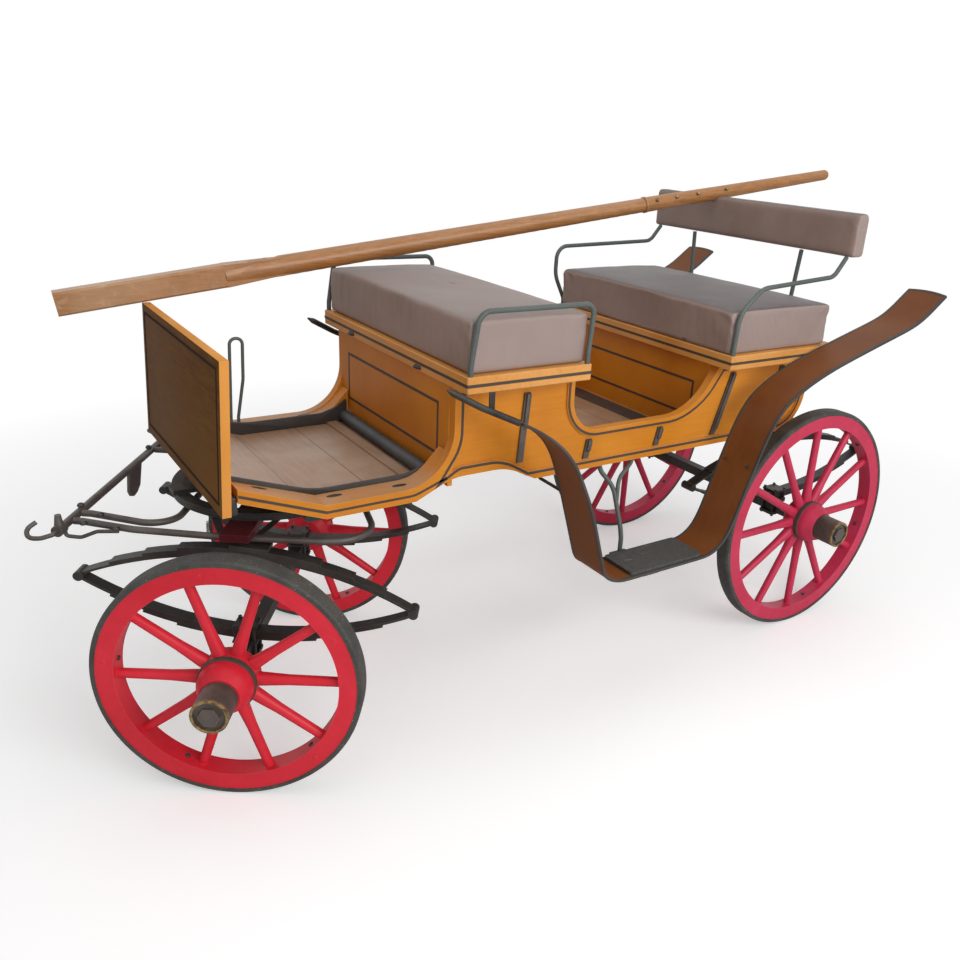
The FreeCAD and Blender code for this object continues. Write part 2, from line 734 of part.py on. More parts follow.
def upperTurntable():
    """Ring plate on the body with a cross of beams and a socket for the king pin."""
    base = [ring(size("turntableRadius"), 40, ringZ + 13, ringZ + 25),
            box(-30, 30, -420, 420, ringZ + 25, bottom - 0.2),
            box(-330, 330, -30, 30, ringZ + 25, bottom - 4)]
    socket = Part.makeCylinder(14.6, 60, Vector(0, 0, ringZ))
    plate = fuse(base).cut(socket)
    plate.translate(Vector(size("wheelbase"), 0, 0))
    return plate


bodyNodes.append(newFeature("upper_turntable", [upperTurntable()]))


# ---- wheels ----

def wheelWood(label, radius, rimWidth, spokes):
    """Rim, nave and spokes. The local Y axis is the axle, and y = 0 the outer face of the rim."""
    body = newBody(label)
    rimOuter = radius - size("tyreThickness")
    rimInner = rimOuter - size("felloeHeight")
    nave = size("naveRadius")
    bore = size("axleArmRadius") + 2
    middle = -rimWidth / 2
    rim = roundedEdges([(rimInner, -rimWidth, 0), (rimOuter, -rimWidth, 0), (rimOuter, 0, 0), (rimInner, 0, 0)])
    revolve(body, addSketch(body, "XY_Plane", rim), (origin(body, "Y_Axis"), [""]))
    # turned nave: back collar, drum that takes the spokes, and a bell that narrows to the cap
    drum = roundedEdges([(bore, -rimWidth - 26, 0), (58, -rimWidth - 26, 6), (nave, middle - 34, 20),
                         (nave, middle + 40, 0), (nave - 4, middle + 44, 0), (nave - 6, 34, 60),
                         (size("capRadius") + 6, 72, 0), (bore, 72, 0)])
    spokeLine = addSketch(body, "XY_Plane", roundedEdges([
        (nave - 12, 0, 0), (rimInner + 8, 0, 0), (rimInner + 8, 15.5, 0), (nave + 90, 17, 0),
        (nave - 12, 23, 0)]), Vector(0, middle, 0))
    spoke = revolve(body, spokeLine, (spokeLine, ["H_Axis"]))
    doc.recompute()
    pattern = body.newObject("PartDesign::PolarPattern", label + "_spokes")
    pattern.Originals = [spoke]
    pattern.Axis = (origin(body, "Y_Axis"), [""])
    pattern.Angle = 360
    pattern.Occurrences = spokes
    body.Tip = pattern
    doc.recompute()
    revolve(body, addSketch(body, "XY_Plane", drum), (origin(body, "Y_Axis"), [""]))
    return body


def wheelTyre(label, radius, rimWidth):
    body = newBody(label)
    inner = radius - size("tyreThickness")
    section = roundedEdges([(inner, -rimWidth - 2, 0), (radius - 5, -rimWidth - 2, 0), (radius, -rimWidth + 8, 0),
                            (radius, -6, 0), (radius - 5, 2, 0), (inner, 2, 0)])
    revolve(body, addSketch(body, "XY_Plane", section), (origin(body, "Y_Axis"), [""]))
    return body


def hubCap(label):
    """Cylindrical cap with a cupped end round a hexagon nut."""
    body = newBody(label)
    cap = size("capRadius")
    end = size("capEnd")
    profile = roundedEdges([(24, 72.2, 0), (cap, 72.2, 0), (cap, end - 4, 0), (cap - 4, end, 0),
                            (cap - 8, end, 0), (cap - 8, end - 8, 0), (24, end - 8, 0)])
    revolve(body, addSketch(body, "XY_Plane", profile), (origin(body, "Y_Axis"), [""]))
    doc.recompute()
    nut = [(32 * math.cos(math.radians(60 * i)), 32 * math.sin(math.radians(60 * i)), 0) for i in range(6)]
    pad(body, addSketch(body, "XZ_Plane", roundedEdges(nut), Vector(0, 0, 10 - end)), 14, True)
    return body


# node name, side, radius, rim width, spokes, distance of the rim's outer face from the centre line
WHEELS = (
    ("front_left", 1, "frontWheelRadius", "frontRimWidth", "frontSpokes", "frontWheelFace"),
    ("front_right", -1, "frontWheelRadius", "frontRimWidth", "frontSpokes", "frontWheelFace"),
    ("rear_left", 1, "rearWheelRadius", "rearRimWidth", "rearSpokes", "rearWheelFace"),
    ("rear_right", -1, "rearWheelRadius", "rearRimWidth", "rearSpokes", "rearWheelFace"),
)
for name, side, radiusName, widthName, spokesName, faceName in WHEELS:
    radius = size(radiusName)
    parts = [wheelWood(name + "_wheel", radius, size(widthName), int(size(spokesName))),
             wheelTyre(name + "_tyre", radius, size(widthName)),
             hubCap(name + "_hub")]
    stand = Placement(Vector(0, side * size(faceName), radius), Rotation(Vector(0, 0, 1), 0 if side > 0 else 180))
    home = frontPlace if name.startswith("front") else bodyPlace
    for part in parts:
        part.Placement = home.multiply(stand)

for part in bodyNodes:
    part.Placement = bodyPlace
for part in frontNodes:
    part.Placement = frontPlace

# ---- check and write ----

doc.recompute()
for thing in doc.Objects:
    if "Invalid" in thing.State or "Error" in thing.State:
        raise RuntimeError(f"{thing.Label}: {thing.State}")
os.makedirs("parts", exist_ok=True)
whole = None
for part in nodes:
    shape = part.Shape
    if shape.isNull() or not shape.isValid():
        raise RuntimeError(f"{part.Label}: no valid shape")
    shape.exportStep(f"parts/{part.Label}.step")
    whole = shape.BoundBox if whole is None else whole.united(shape.BoundBox)
print(len(nodes), "sub-parts,", whole)
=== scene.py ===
import bpy
import bmesh
import math
from mathutils import Matrix, Vector, noise


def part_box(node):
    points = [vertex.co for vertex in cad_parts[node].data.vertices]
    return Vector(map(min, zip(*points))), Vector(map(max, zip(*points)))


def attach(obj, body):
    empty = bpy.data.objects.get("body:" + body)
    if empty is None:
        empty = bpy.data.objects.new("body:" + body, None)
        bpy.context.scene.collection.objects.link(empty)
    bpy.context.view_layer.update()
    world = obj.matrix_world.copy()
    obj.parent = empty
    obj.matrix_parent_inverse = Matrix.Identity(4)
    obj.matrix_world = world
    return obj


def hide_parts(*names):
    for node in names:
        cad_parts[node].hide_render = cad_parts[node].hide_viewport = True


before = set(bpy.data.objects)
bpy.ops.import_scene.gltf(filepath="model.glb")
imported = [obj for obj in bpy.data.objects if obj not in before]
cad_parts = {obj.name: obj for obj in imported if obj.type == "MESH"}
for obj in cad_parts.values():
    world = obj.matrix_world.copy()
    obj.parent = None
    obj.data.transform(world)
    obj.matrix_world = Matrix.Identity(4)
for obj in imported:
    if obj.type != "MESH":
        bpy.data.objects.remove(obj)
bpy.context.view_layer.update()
print("frame loaded:", len(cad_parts), "nodes")

# every place below counts from the rear axle, as the carriage is measured
axleLow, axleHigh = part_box("rear_axle")
rearAxleX = (axleLow.x + axleHigh.x) / 2
axleShift = Vector((rearAxleX, 0, 0))
kingPin = Vector((rearAxleX + 2.187, 0, 0))
steerAngle = math.radians(-33.85)
steering = Matrix.Translation(kingPin) @ Matrix.Rotation(steerAngle, 4, "Z")

scene = bpy.context.scene
scene.view_settings.view_transform = "Standard"

studio = {
    "cameraPlace": (3.1345, 2.8685, 2.0369),
    "cameraRight": (-0.82251, 0.56573, 0.05851),
    "cameraDown": (0.16269, 0.33261, -0.92893),
    "lens": 33.53,
    "sensor": 36,
    "shiftX": -0.0546,
    "shiftY": 0.0018,
    "worldLight": 0.36,
    "worldSeen": 1.05,
    # each lamp's place, what it points at, its size and its power
    "lamps": {"keyLamp": ((0.8, 5.6, 3.4), (1.0, 0, 0.7), (4.5, 3.0), 225),
              "topLamp": ((1.0, 0.0, 4.6), (1.0, 0, 0.5), (5.0, 4.0), 46),
              "fillLamp": ((6.0, 0.5, 2.2), (1.5, 0, 0.8), (3.0, 3.0), 10)},
    "floorSize": 60,
    "floorDrop": 0.0005,
    "floorColor": 0.80,
    "floorLift": 0.36,
    "floorFade": (1.9, 4.2),
}


def addCamera():
    right = Vector(studio["cameraRight"]).normalized()
    up = -Vector(studio["cameraDown"]).normalized()
    back = right.cross(up).normalized()
    place = Vector(studio["cameraPlace"]) + axleShift
    data = bpy.data.cameras.new("frontCamera")
    data.lens = studio["lens"]
    data.sensor_width = studio["sensor"]
    data.shift_x = studio["shiftX"]
    data.shift_y = studio["shiftY"]
    camera = bpy.data.objects.new("frontCamera", data)
    scene.collection.objects.link(camera)
    camera.matrix_world = Matrix.Translation(place) @ Matrix((right, up, back)).transposed().to_4x4()
    scene.camera = camera


def addLamp(name, place, target, size, power):
    data = bpy.data.lights.new(name, "AREA")
    data.shape = "RECTANGLE"
    data.size, data.size_y = size
    data.energy = power
    lamp = bpy.data.objects.new(name, data)
    scene.collection.objects.link(lamp)
    lamp.location = Vector(place) + axleShift
    lamp.rotation_euler = (Vector(target) - Vector(place)).to_track_quat("-Z", "Y").to_euler()


class Wire:
    # one output socket, with the arithmetic that shader maths needs
    def __init__(self, shader, socket):
        self.shader = shader
        self.socket = socket

    def calc(self, operation, *others):
        return self.shader.add("Math", dict(enumerate((self,) + others)), operation=operation)

    def __add__(self, other):
        return self.calc("ADD", other)

    def __sub__(self, other):
        return self.calc("SUBTRACT", other)

    def __mul__(self, other):
        return self.calc("MULTIPLY", other)

    def __rsub__(self, other):
        return self.shader.add("Math", {0: other, 1: self}, operation="SUBTRACT")

    def abs(self):
        return self.calc("ABSOLUTE")

    def above(self, limit):
        return self.calc("GREATER_THAN", limit)

    def ramp(self, low=0.3, high=0.7):
        # 0 at low, 1 at high, straight in between
        return self.shader.add("MapRange", {"Value": self, "From Min": low, "From Max": high})


class Finish:
    # a material being made: nodes are added through add(), and the shader's sockets set through put()
    def __init__(self, name):
        self.material = bpy.data.materials.new(name)
        self.material.use_nodes = True
        self.nodes = self.material.node_tree.nodes
        self.links = self.material.node_tree.links
        self.principled = next(n for n in self.nodes if n.type == "BSDF_PRINCIPLED")
        coordinates = self.nodes.new("ShaderNodeTexCoord")
        self.place = Wire(self, coordinates.outputs["Object"])
        self.normal = Wire(self, coordinates.outputs["Normal"])

    def connect(self, value, socket):
        if isinstance(value, Wire):
            self.links.new(value.socket, socket)
        elif hasattr(socket.default_value, "__len__") and not hasattr(value, "__len__"):
            socket.default_value = (value,) * len(socket.default_value)
        elif hasattr(value, "__len__") and len(value) == 3 and len(socket.default_value) == 4:
            socket.default_value = tuple(value) + (1.0,)
        else:
            socket.default_value = value

    def add(self, kind, values, out=0, **settings):
        node = self.nodes.new("ShaderNode" + kind)
        for key, value in settings.items():
            setattr(node, key, value)
        for key, value in values.items():
            self.connect(value, node.inputs[key])
        return Wire(self, node.outputs[out])

    def over(self, mask, color):
        # a second colour laid over the first where the mask is 1
        self.color = self.blend(mask, self.color, color)

    def put(self, **values):
        self.connect(self.color, self.principled.inputs["Base Color"])
        for key, value in values.items():
            self.connect(value, self.principled.inputs[key.replace("_", " ")])
        return self.material

    def noise(self, scale, detail=3.0, roughness=0.6, stretch=None):
        where = self.add("Mapping", {"Vector": self.place, "Scale": stretch}) if stretch else self.place
        return self.add("TexNoise", {"Vector": where, "Scale": scale, "Detail": detail, "Roughness": roughness})

    def blend(self, factor, first, second):
        # of this node's sockets 0 is the factor, and 6, 7 and 2 are the colours
        node = self.nodes.new("ShaderNodeMix")
        node.data_type = "RGBA"
        self.connect(factor, node.inputs[0])
        self.connect(first, node.inputs[6])
        self.connect(second, node.inputs[7])
        return Wire(self, node.outputs[2])

    def part(self, vector, axis):
        return self.add("SeparateXYZ", {0: vector}, "XYZ".index(axis))

    def vector(self, operation, *values, out=0):
        return self.add("VectorMath", dict(enumerate(values)), out, operation=operation)

    def bump(self, height, strength, distance):
        return self.add("Bump", {"Height": height, "Strength": strength, "Distance": distance})

    def edges(self, radius):
        # 1 on sharp edges, 0 on flat surfaces
        rounded = self.add("Bevel", {"Radius": radius}, samples=4)
        flat = Wire(self, self.nodes.new("ShaderNodeNewGeometry").outputs["Normal"])
        return (1.0 - self.vector("DOT_PRODUCT", rounded, flat, out="Value")).ramp(0.02, 0.22)


def paint(name, light, dark, wornAndLit, grain, roughness, edgeRadius, edgeWearAndHighlight, grainScale=6.0, coat=0.08, tread=None,
          gloss=0.28):
    # coach paint over wood: slow drifts of tone, faint brush lines along the grain, edges painted lighter, as wear
    # and as painted highlight
    finish = Finish(name)
    drift = finish.noise(3.1, 3.0, 0.55)
    lines = finish.noise(grainScale, 5.0, 0.65, grain)
    specks = finish.noise(90.0, 3.0, 0.7)
    tone = (drift * 0.65 + lines * 0.35).ramp(0.32, 0.68)
    finish.color = finish.blend(tone, dark, light)
    # painted highlight on the sharp edges, which also stands for their wear
    edge = finish.edges(edgeRadius) * (drift.ramp(0.2, 0.6) * 0.5 + 0.5) * edgeWearAndHighlight
    finish.over(edge, wornAndLit)
    dust = specks.ramp(0.66, 0.78) * 0.35
    finish.over(dust, wornAndLit)
    if tread:
        # low faces that look up are painted pale: partly dust and wear of feet, partly painted reflection of the
        # bright surroundings
        low = finish.part(finish.place, "Z").ramp(1.04, 0.98) * finish.part(finish.normal, "Z").ramp(0.7, 0.95)
        finish.over(low * (drift * 0.5 + lines * 0.6).ramp(0.2, 0.7) * 0.75, tread)
    height = lines * 0.6 + specks * 0.4
    return finish.put(Roughness=(lines * 0.25 + roughness - 0.05), Coat_Weight=coat, Coat_Roughness=0.25,
                      Specular_IOR_Level=gloss, Normal=finish.bump(height, 0.12, 0.0006))


coachPaints = {
    # light, dark and worn colour (also that of dust and of the painted edge highlight), grain, roughness, radius of
    # the worn, highlighted edges, strength of that wear and highlight, and what is unlike other paints
    "ochre": ((0.68, 0.255, 0.016), (0.52, 0.165, 0.005), (0.84, 0.42, 0.13), (1, 14, 14), 0.40, 0.004, 0.6,
              # the pale of ochre's low tops: dust and wear, with painted reflection
              {"tread": (0.43, 0.31, 0.215)}),
    "seatRail": ((0.76, 0.37, 0.110), (0.58, 0.235, 0.038), (0.86, 0.48, 0.22), (14, 1, 14), 0.42, 0.004, 0.6, {}),
    "crimson": ((0.76, 0.026, 0.048), (0.60, 0.012, 0.026), (0.85, 0.18, 0.20), (3, 3, 3), 0.38, 0.003, 0.5, {}),
    "rose": ((0.62, 0.040, 0.105), (0.46, 0.017, 0.052), (0.80, 0.22, 0.30), (3, 3, 3), 0.38, 0.003, 0.5, {}),
    "mudguard": ((0.212, 0.072, 0.021), (0.148, 0.045, 0.010), (0.33, 0.17, 0.10), (2, 9, 2), 0.42, 0.002, 0.4,
                 {"gloss": 0.10}),
    "stripe": ((0.085, 0.062, 0.045), (0.050, 0.036, 0.027), (0.22, 0.16, 0.11), (3, 3, 3), 0.5, 0.001, 0.2, {}),
    "binding": ((0.060, 0.052, 0.048), (0.030, 0.026, 0.024), (0.20, 0.18, 0.17), (3, 3, 3), 0.45, 0.002, 0.5, {}),
    "rail": ((0.115, 0.135, 0.125), (0.065, 0.078, 0.072), (0.32, 0.34, 0.32), (4, 4, 4), 0.42, 0.002, 0.4,
             {"grainScale": 20.0}),
    # the bolster's crimson, painted dark as the shade under the body
    "darkRed": ((0.085, 0.008, 0.012), (0.050, 0.004, 0.006), (0.25, 0.10, 0.09), (3, 3, 3), 0.40, 0.003, 0.4, {}),
    # near-black and flat: painted shade of a groove, and of holes
    "groove": ((0.026, 0.011, 0.005), (0.016, 0.007, 0.003), (0.10, 0.05, 0.03), (3, 3, 3), 0.5, 0.001, 0.2,
               {"coat": 0, "gloss": 0.04}),
    "band": ((0.085, 0.080, 0.065), (0.050, 0.046, 0.038), (0.28, 0.26, 0.22), (5, 5, 5), 0.45, 0.002, 0.5, {}),
}
finishes = {}


def makeFinishes():
    for name, values in coachPaints.items():
        finishes[name] = paint(name + "Paint", *values[:-1], **values[-1])
    for name, values in plainFinishes.items():
        finishes[name] = plainFinish(name, *values)
    for name, maker in (("board", boardPaint), ("dash", dashPaint), ("tyre", wornRubber), ("cover", leathercloth),
                        ("pole", poleWood), ("tread", treadPad)):
        finishes[name] = maker()


boardsAMetre = 4.13
# one seam of the boards falls near where the sills start to rise
boardSeam = -(rearAxleX + 2.203) * boardsAMetre % 1


def boardPaint():
    # worn brown-grey floor boards, seams across, polished where feet go
    finish = Finish("floorBoards")
    grain = finish.noise(7.0, 6.0, 0.65, (10, 1, 10))
    drift = finish.noise(2.6)
    finish.color = finish.blend(grain.ramp(), (0.270, 0.155, 0.088), (0.400, 0.250, 0.155))
    finish.over(drift.ramp(0.45, 0.72) * 0.75, (0.49, 0.39, 0.31))
    along = finish.part(finish.place, "X")
    seam = ((along * boardsAMetre + boardSeam).calc("FRACT") - 0.5).abs().above(0.4925)
    finish.over(seam * 0.8, (0.040, 0.026, 0.017))
    return finish.put(Roughness=(drift * 0.3 + grain * 0.2 + 0.20), Coat_Weight=0.15, Coat_Roughness=0.3,
                      Normal=finish.bump(grain * 0.5 - seam, 0.25, 0.0010))


def dashPaint():
    # dark varnished face, painted darker still with the shade that falls on it, ochre on the edges and the back
    finish = Finish("dashPaint")
    grain = finish.noise(5.0, 5.0, 0.6, (1, 2, 16))
    drift = finish.noise(2.2)
    face = finish.blend(grain.ramp(), (0.082, 0.030, 0.006), (0.150, 0.064, 0.014))
    # painted light: the face is lighter and warmer low down, towards the near side
    glow = finish.part(finish.place, "Z").ramp(1.36, 1.00) * finish.part(finish.place, "Y").ramp(-0.5, 0.4)
    face = finish.blend(glow * (drift * 0.5 + 0.3), face, (0.235, 0.104, 0.020))
    edge = finish.blend(drift.ramp(), (0.62, 0.235, 0.035), (0.80, 0.36, 0.09))
    # faces that look forward take the dark face colours, painted shade among them
    forward = finish.part(finish.normal, "X").above(0.8)
    finish.color = finish.blend(forward, edge, face)
    # painted highlight along the edges
    finish.over(finish.edges(0.004) * 0.45, (0.85, 0.45, 0.18))
    return finish.put(Roughness=(grain * 0.2 + 0.45), Specular_IOR_Level=0.05,
                      Normal=finish.bump(grain, 0.10, 0.0006))


def wornRubber():
    # solid tyres: dusty, pitted, with pale grit pressed in
    finish = Finish("tyreRubber")
    grit = finish.add("TexVoronoi", {"Vector": finish.place, "Scale": 95.0})
    patches = finish.noise(11.0, 4.0, 0.7)
    fine = finish.noise(140.0, 3.0, 0.7)
    finish.color = finish.blend(patches.ramp(), (0.030, 0.029, 0.027), (0.072, 0.068, 0.060))
    pale = grit.ramp(0.22, 0.10) * patches.ramp(0.42, 0.62)
    finish.over(pale * 0.75, (0.36, 0.33, 0.26))
    finish.over(fine.ramp(0.6, 0.75) * 0.35, (0.22, 0.20, 0.16))
    return finish.put(Roughness=(fine * 0.25 + 0.6), Normal=finish.bump(fine + patches, 0.5, 0.0016))


coverMarks = (
    # a rubbed spot on the front seat, and a small tear low on the rear one: middle and size
    ((1.462, -0.025, 1.485), (0.012, 0.030, 0.03)), ((0.567, 0.297, 1.288), (0.03, 0.018, 0.007)),
)


def leathercloth():
    # brown-mauve covering, its ends painted lighter for the light on them, with a fine pressed grain
    finish = Finish("leathercloth")
    pebble = finish.add("TexVoronoi", {"Vector": finish.place, "Scale": 420.0}, feature="DISTANCE_TO_EDGE")
    drift = finish.noise(4.0, 4.0)
    stains = finish.noise(14.0, 5.0, 0.7)
    finish.color = finish.blend(drift.ramp(), (0.235, 0.152, 0.118), (0.310, 0.215, 0.180))
    facing = finish.part(finish.normal, "Z").ramp(0.55, 0.95)
    # the front seat's top is browner, the rear one's darker
    ahead = finish.part(finish.place, "X").ramp(rearAxleX + 0.7, rearAxleX + 1.1)
    finish.over(facing * 0.85, finish.blend(ahead, (0.038, 0.027, 0.033), (0.190, 0.135, 0.118)))
    # painted light: the ends, which face sideways, are lighter
    outward = finish.part(finish.normal, "Y").abs().ramp(0.5, 0.9)
    finish.over(outward * 0.6, (0.345, 0.270, 0.255))
    finish.over(stains.ramp(0.62, 0.8) * 0.3, (0.30, 0.25, 0.23))
    for spot, size in coverMarks:
        away = finish.vector("SUBTRACT", finish.place, Vector(spot) + axleShift)
        reach = finish.vector("LENGTH", finish.vector("DIVIDE", away, size), out="Value")
        finish.over((reach + stains * 0.8).ramp(1.5, 0.9) * 0.7, (0.045, 0.032, 0.028))
    return finish.put(Roughness=(drift * 0.2 + 0.42), Sheen_Weight=0.15, Sheen_Roughness=0.5,
                      Normal=finish.bump(pebble.ramp(0.0, 0.12), 0.22, 0.0004))


def poleWood():
    finish = Finish("poleWood")
    grain = finish.noise(9.0, 6.0, 0.7, (0.7, 12, 12))
    drift = finish.noise(2.4, 4.0)
    scuffs = finish.noise(30.0, 4.0, 0.7)
    finish.color = finish.blend(grain.ramp(0.28, 0.72), (0.235, 0.088, 0.020), (0.440, 0.190, 0.050))
    forward = finish.part(finish.place, "X").ramp(rearAxleX + 1.9, rearAxleX + 2.6)
    wornAndLit = (drift.ramp(0.42, 0.62) * 0.45 + scuffs.ramp(0.55, 0.7) * 0.35) * (forward * 0.7 + 0.3)
    finish.over(wornAndLit, (0.56, 0.35, 0.20))
    return finish.put(Roughness=(grain * 0.2 + scuffs * 0.2 + 0.22), Coat_Weight=0.15, Coat_Roughness=0.25,
                      Normal=finish.bump(grain + scuffs * 0.5, 0.25, 0.0008))


plainFinishes = {
    # grain, scale of the drift of tone, dark and light colour, slope and least of roughness, how metallic,
    # strength and depth of relief, share and colour of worn edges, and rust
    "iron": ((55.0, 5.0, 0.7), 9.0, (0.018, 0.017, 0.015), (0.052, 0.048, 0.042), (0.3, 0.34), 0.35, (0.35, 0.0010),
             (0.5, (0.17, 0.16, 0.145)), (0.105, 0.068, 0.042)),
    "bareIron": ((55.0, 5.0, 0.7), 9.0, (0.060, 0.050, 0.044), (0.125, 0.108, 0.096), (0.3, 0.34), 0.35,
                 (0.35, 0.0010), (0.5, (0.17, 0.16, 0.145)), (0.170, 0.125, 0.090)),
    "capMetal": ((70.0, 4.0, 0.7), 12.0, (0.060, 0.046, 0.040), (0.125, 0.100, 0.085), (0.3, 0.3), 0.3,
                 (0.25, 0.0008), (0.6, (0.33, 0.27, 0.20))),
    "brass": ((60.0, 4.0, 0.7), None, (0.10, 0.065, 0.032), (0.42, 0.30, 0.14), (0.3, 0.3), 0.7, (0.3, 0.0008)),
    "brightSteel": ((80.0, 4.0, 0.7), None, (0.30, 0.30, 0.29), (0.62, 0.62, 0.60), (0.3, 0.25), 0.6,
                    (0.2, 0.0006)),
    "rollRubber": ((50.0, 4.0), 5.0, (0.030, 0.034, 0.036), (0.062, 0.068, 0.072), (0.2, 0.42), 0, (0.15, 0.0006)),
}


def plainFinish(name, grain, drift, dark, light, roughness, metallic, relief, wornAndLit=None, rust=None):
    finish = Finish(name)
    fine = finish.noise(*grain)
    tone = finish.noise(drift).ramp() if drift else fine.ramp(0.35, 0.65)
    finish.color = finish.blend(tone, dark, light)
    if rust:
        finish.over(fine.ramp(0.60, 0.74) * 0.6, rust)
    if wornAndLit:
        finish.over(finish.edges(0.003) * wornAndLit[0], wornAndLit[1])
    slope, least = roughness
    return finish.put(Roughness=(fine * slope + least), Metallic=metallic, Normal=finish.bump(fine, *relief))


def treadPad():
    # black step pad, scratched and greyed by shoes
    finish = Finish("treadPad")
    fine = finish.noise(60.0, 5.0, 0.75)
    scuffs = finish.noise(16.0, 5.0, 0.75, (1, 3, 1))
    finish.color = finish.blend(fine.ramp(), (0.028, 0.029, 0.028), (0.078, 0.080, 0.078))
    finish.over(scuffs.ramp(0.60, 0.72) * 0.7, (0.27, 0.26, 0.25))
    return finish.put(Roughness=(fine * 0.3 + 0.42), Normal=finish.bump(fine + scuffs, 0.6, 0.0020))


nodeFinishes = {
    # what the nodes' names hold; a node that nothing fits is dark iron
    "ochre": ("side_panel", "front_seat_box", "rear_seat_box"),
    "board": ("floor_boards", "footwell_boards"),
    "seatRail": ("front_seat_frame", "rear_seat_frame"),
    "dash": ("dashboard",),
    "rail": ("backrest_irons", "front_seat_rails", "arm_irons", "whip_loop", "step_irons"),
    "cover": ("front_cushion", "rear_cushion", "backrest"),
    "rollRubber": ("toe_roll",),
    "darkRed": ("bolster",),
    "bareIron": ("futchell", "splinter", "trace_hooks", "body_straps"),
    "iron": ("mudguard_hangers",),
    "mudguard": ("mudguard",),
    "tread": ("step_pads",),
    "pole": ("draught_pole",),
    "crimson": ("front_left_wheel", "front_right_wheel"),
    "rose": ("rear_left_wheel", "rear_right_wheel"),
    "tyre": ("_tyre",),
    "capMetal": ("_hub",),
}


def dressNodes():
    for name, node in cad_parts.items():
        fitting = (finish for finish, parts in nodeFinishes.items() if any(part in name for part in parts))
        node.data.materials[0] = finishes[next(fitting, "iron")]


def addStudio():
    addCamera()
    for name, values in studio["lamps"].items():
        addLamp(name, *values)
    world = bpy.data.worlds.new("studioWorld")
    scene.world = world
    world.use_nodes = True
    nodes, links = world.node_tree.nodes, world.node_tree.links
    background = nodes["Background"]
    background.inputs["Color"].default_value = (1, 1, 1, 1)
    path = nodes.new("ShaderNodeLightPath")
    seen = path.outputs["Is Camera Ray"]
    for ray in ("Is Glossy Ray", "Is Transmission Ray"):
        either = nodes.new("ShaderNodeMath")
        either.operation = "MAXIMUM"
        links.new(seen, either.inputs[0])
        links.new(path.outputs[ray], either.inputs[1])
        seen = either.outputs[0]
    strength = nodes.new("ShaderNodeMapRange")
    links.new(seen, strength.inputs[0])
    strength.inputs[3].default_value = studio["worldLight"]
    strength.inputs[4].default_value = studio["worldSeen"]
    links.new(strength.outputs[0], background.inputs["Strength"])


def glowing(finish, strength):
    node = finish.nodes.new("ShaderNodeEmission")
    node.inputs["Strength"].default_value = strength
    return node.outputs[0]


def mixedShader(finish, factor, first, second):
    node = finish.nodes.new("ShaderNodeMixShader")
    for source, socket in zip((factor, first, second), node.inputs):
        finish.links.new(source, socket)
    return node.outputs[0]


def addFloor():
    bpy.ops.mesh.primitive_plane_add(size=studio["floorSize"], location=(0, 0, -studio["floorDrop"]))
    floor = bpy.context.object
    floor.name = "studioFloor"
    finish = Finish("paleFloor")
    tone = studio["floorColor"]
    finish.color = finish.blend(finish.noise(0.4, 2.0), (tone,) * 3, (tone * 1.01,) * 3)
    finish.put(Roughness=0.9, Emission_Color=(1, 1, 1))
    seen = finish.nodes.new("ShaderNodeLightPath").outputs["Is Camera Ray"]
    total = finish.nodes.new("ShaderNodeAddShader")
    finish.links.new(finish.principled.outputs[0], total.inputs[0])
    lift = mixedShader(finish, seen, glowing(finish, 0.0), glowing(finish, studio["floorLift"]))
    finish.links.new(lift, total.inputs[1])
    # away from the carriage the floor goes over into the white of the background
    spread = finish.vector("LENGTH", finish.place, out="Value")
    fade = spread.ramp(*studio["floorFade"]) * Wire(finish, seen)
    far = mixedShader(finish, fade.socket, total.outputs[0], glowing(finish, 1.0))
    output = next(n for n in finish.nodes if n.type == "OUTPUT_MATERIAL")
    finish.links.new(far, output.inputs["Surface"])
    floor.data.materials.append(finish.material)


bodyPlace = Matrix.Translation(axleShift)
# edges sharper than this many degrees are rounded or shaded as edges
sharpAngle = 35


def leaveEdit():
    bpy.ops.object.mode_set(mode="OBJECT")


def activate(piece):
    bpy.ops.object.select_all(action="DESELECT")
    piece.select_set(True)
    bpy.context.view_layer.objects.active = piece


def applyPlace():
    bpy.ops.object.transform_apply(location=True, rotation=True, scale=True)


def alongAxis(place, axis):
    # stands what was made upright along an axis
    return Matrix.Translation(place) @ Vector(axis).to_track_quat("Z", "Y").to_matrix().to_4x4()


def addBlock(low, high):
    # a cube between two corners
    low, high = Vector(low), Vector(high)
    bpy.ops.mesh.primitive_cube_add(size=1, location=(low + high) / 2)
    bpy.context.object.scale = high - low
    applyPlace()
    return bpy.context.object


def addRound(sides, radius, length):
    # an upright cylinder round the origin
    bpy.ops.mesh.primitive_cylinder_add(vertices=sides, radius=radius, depth=length)
    return bpy.context.object


def editAll(piece):
    activate(piece)
    bpy.ops.object.mode_set(mode="EDIT")
    bpy.ops.mesh.select_all(action="SELECT")


def pick(kind, test):
    # selects the points, edges or faces that pass the test
    bpy.ops.mesh.select_mode(type=kind)
    bpy.ops.mesh.select_all(action="DESELECT")
    mesh = bmesh.from_edit_mesh(bpy.context.object.data)
    mesh.normal_update()
    for part in {"VERT": mesh.verts, "EDGE": mesh.edges, "FACE": mesh.faces}[kind]:
        if test(part):
            part.select_set(True)
    bmesh.update_edit_mesh(bpy.context.object.data)


def useModifier(piece, kind, **settings):
    activate(piece)
    modifier = piece.modifiers.new(kind.lower(), kind)
    for key, value in settings.items():
        setattr(modifier, key, value)
    bpy.ops.object.modifier_apply(modifier=modifier.name)


def softened(piece, width):
    # the hard edges of a small made piece, rounded over
    useModifier(piece, "BEVEL", width=width, segments=2, limit_method="ANGLE", angle_limit=math.radians(sharpAngle))
    return piece


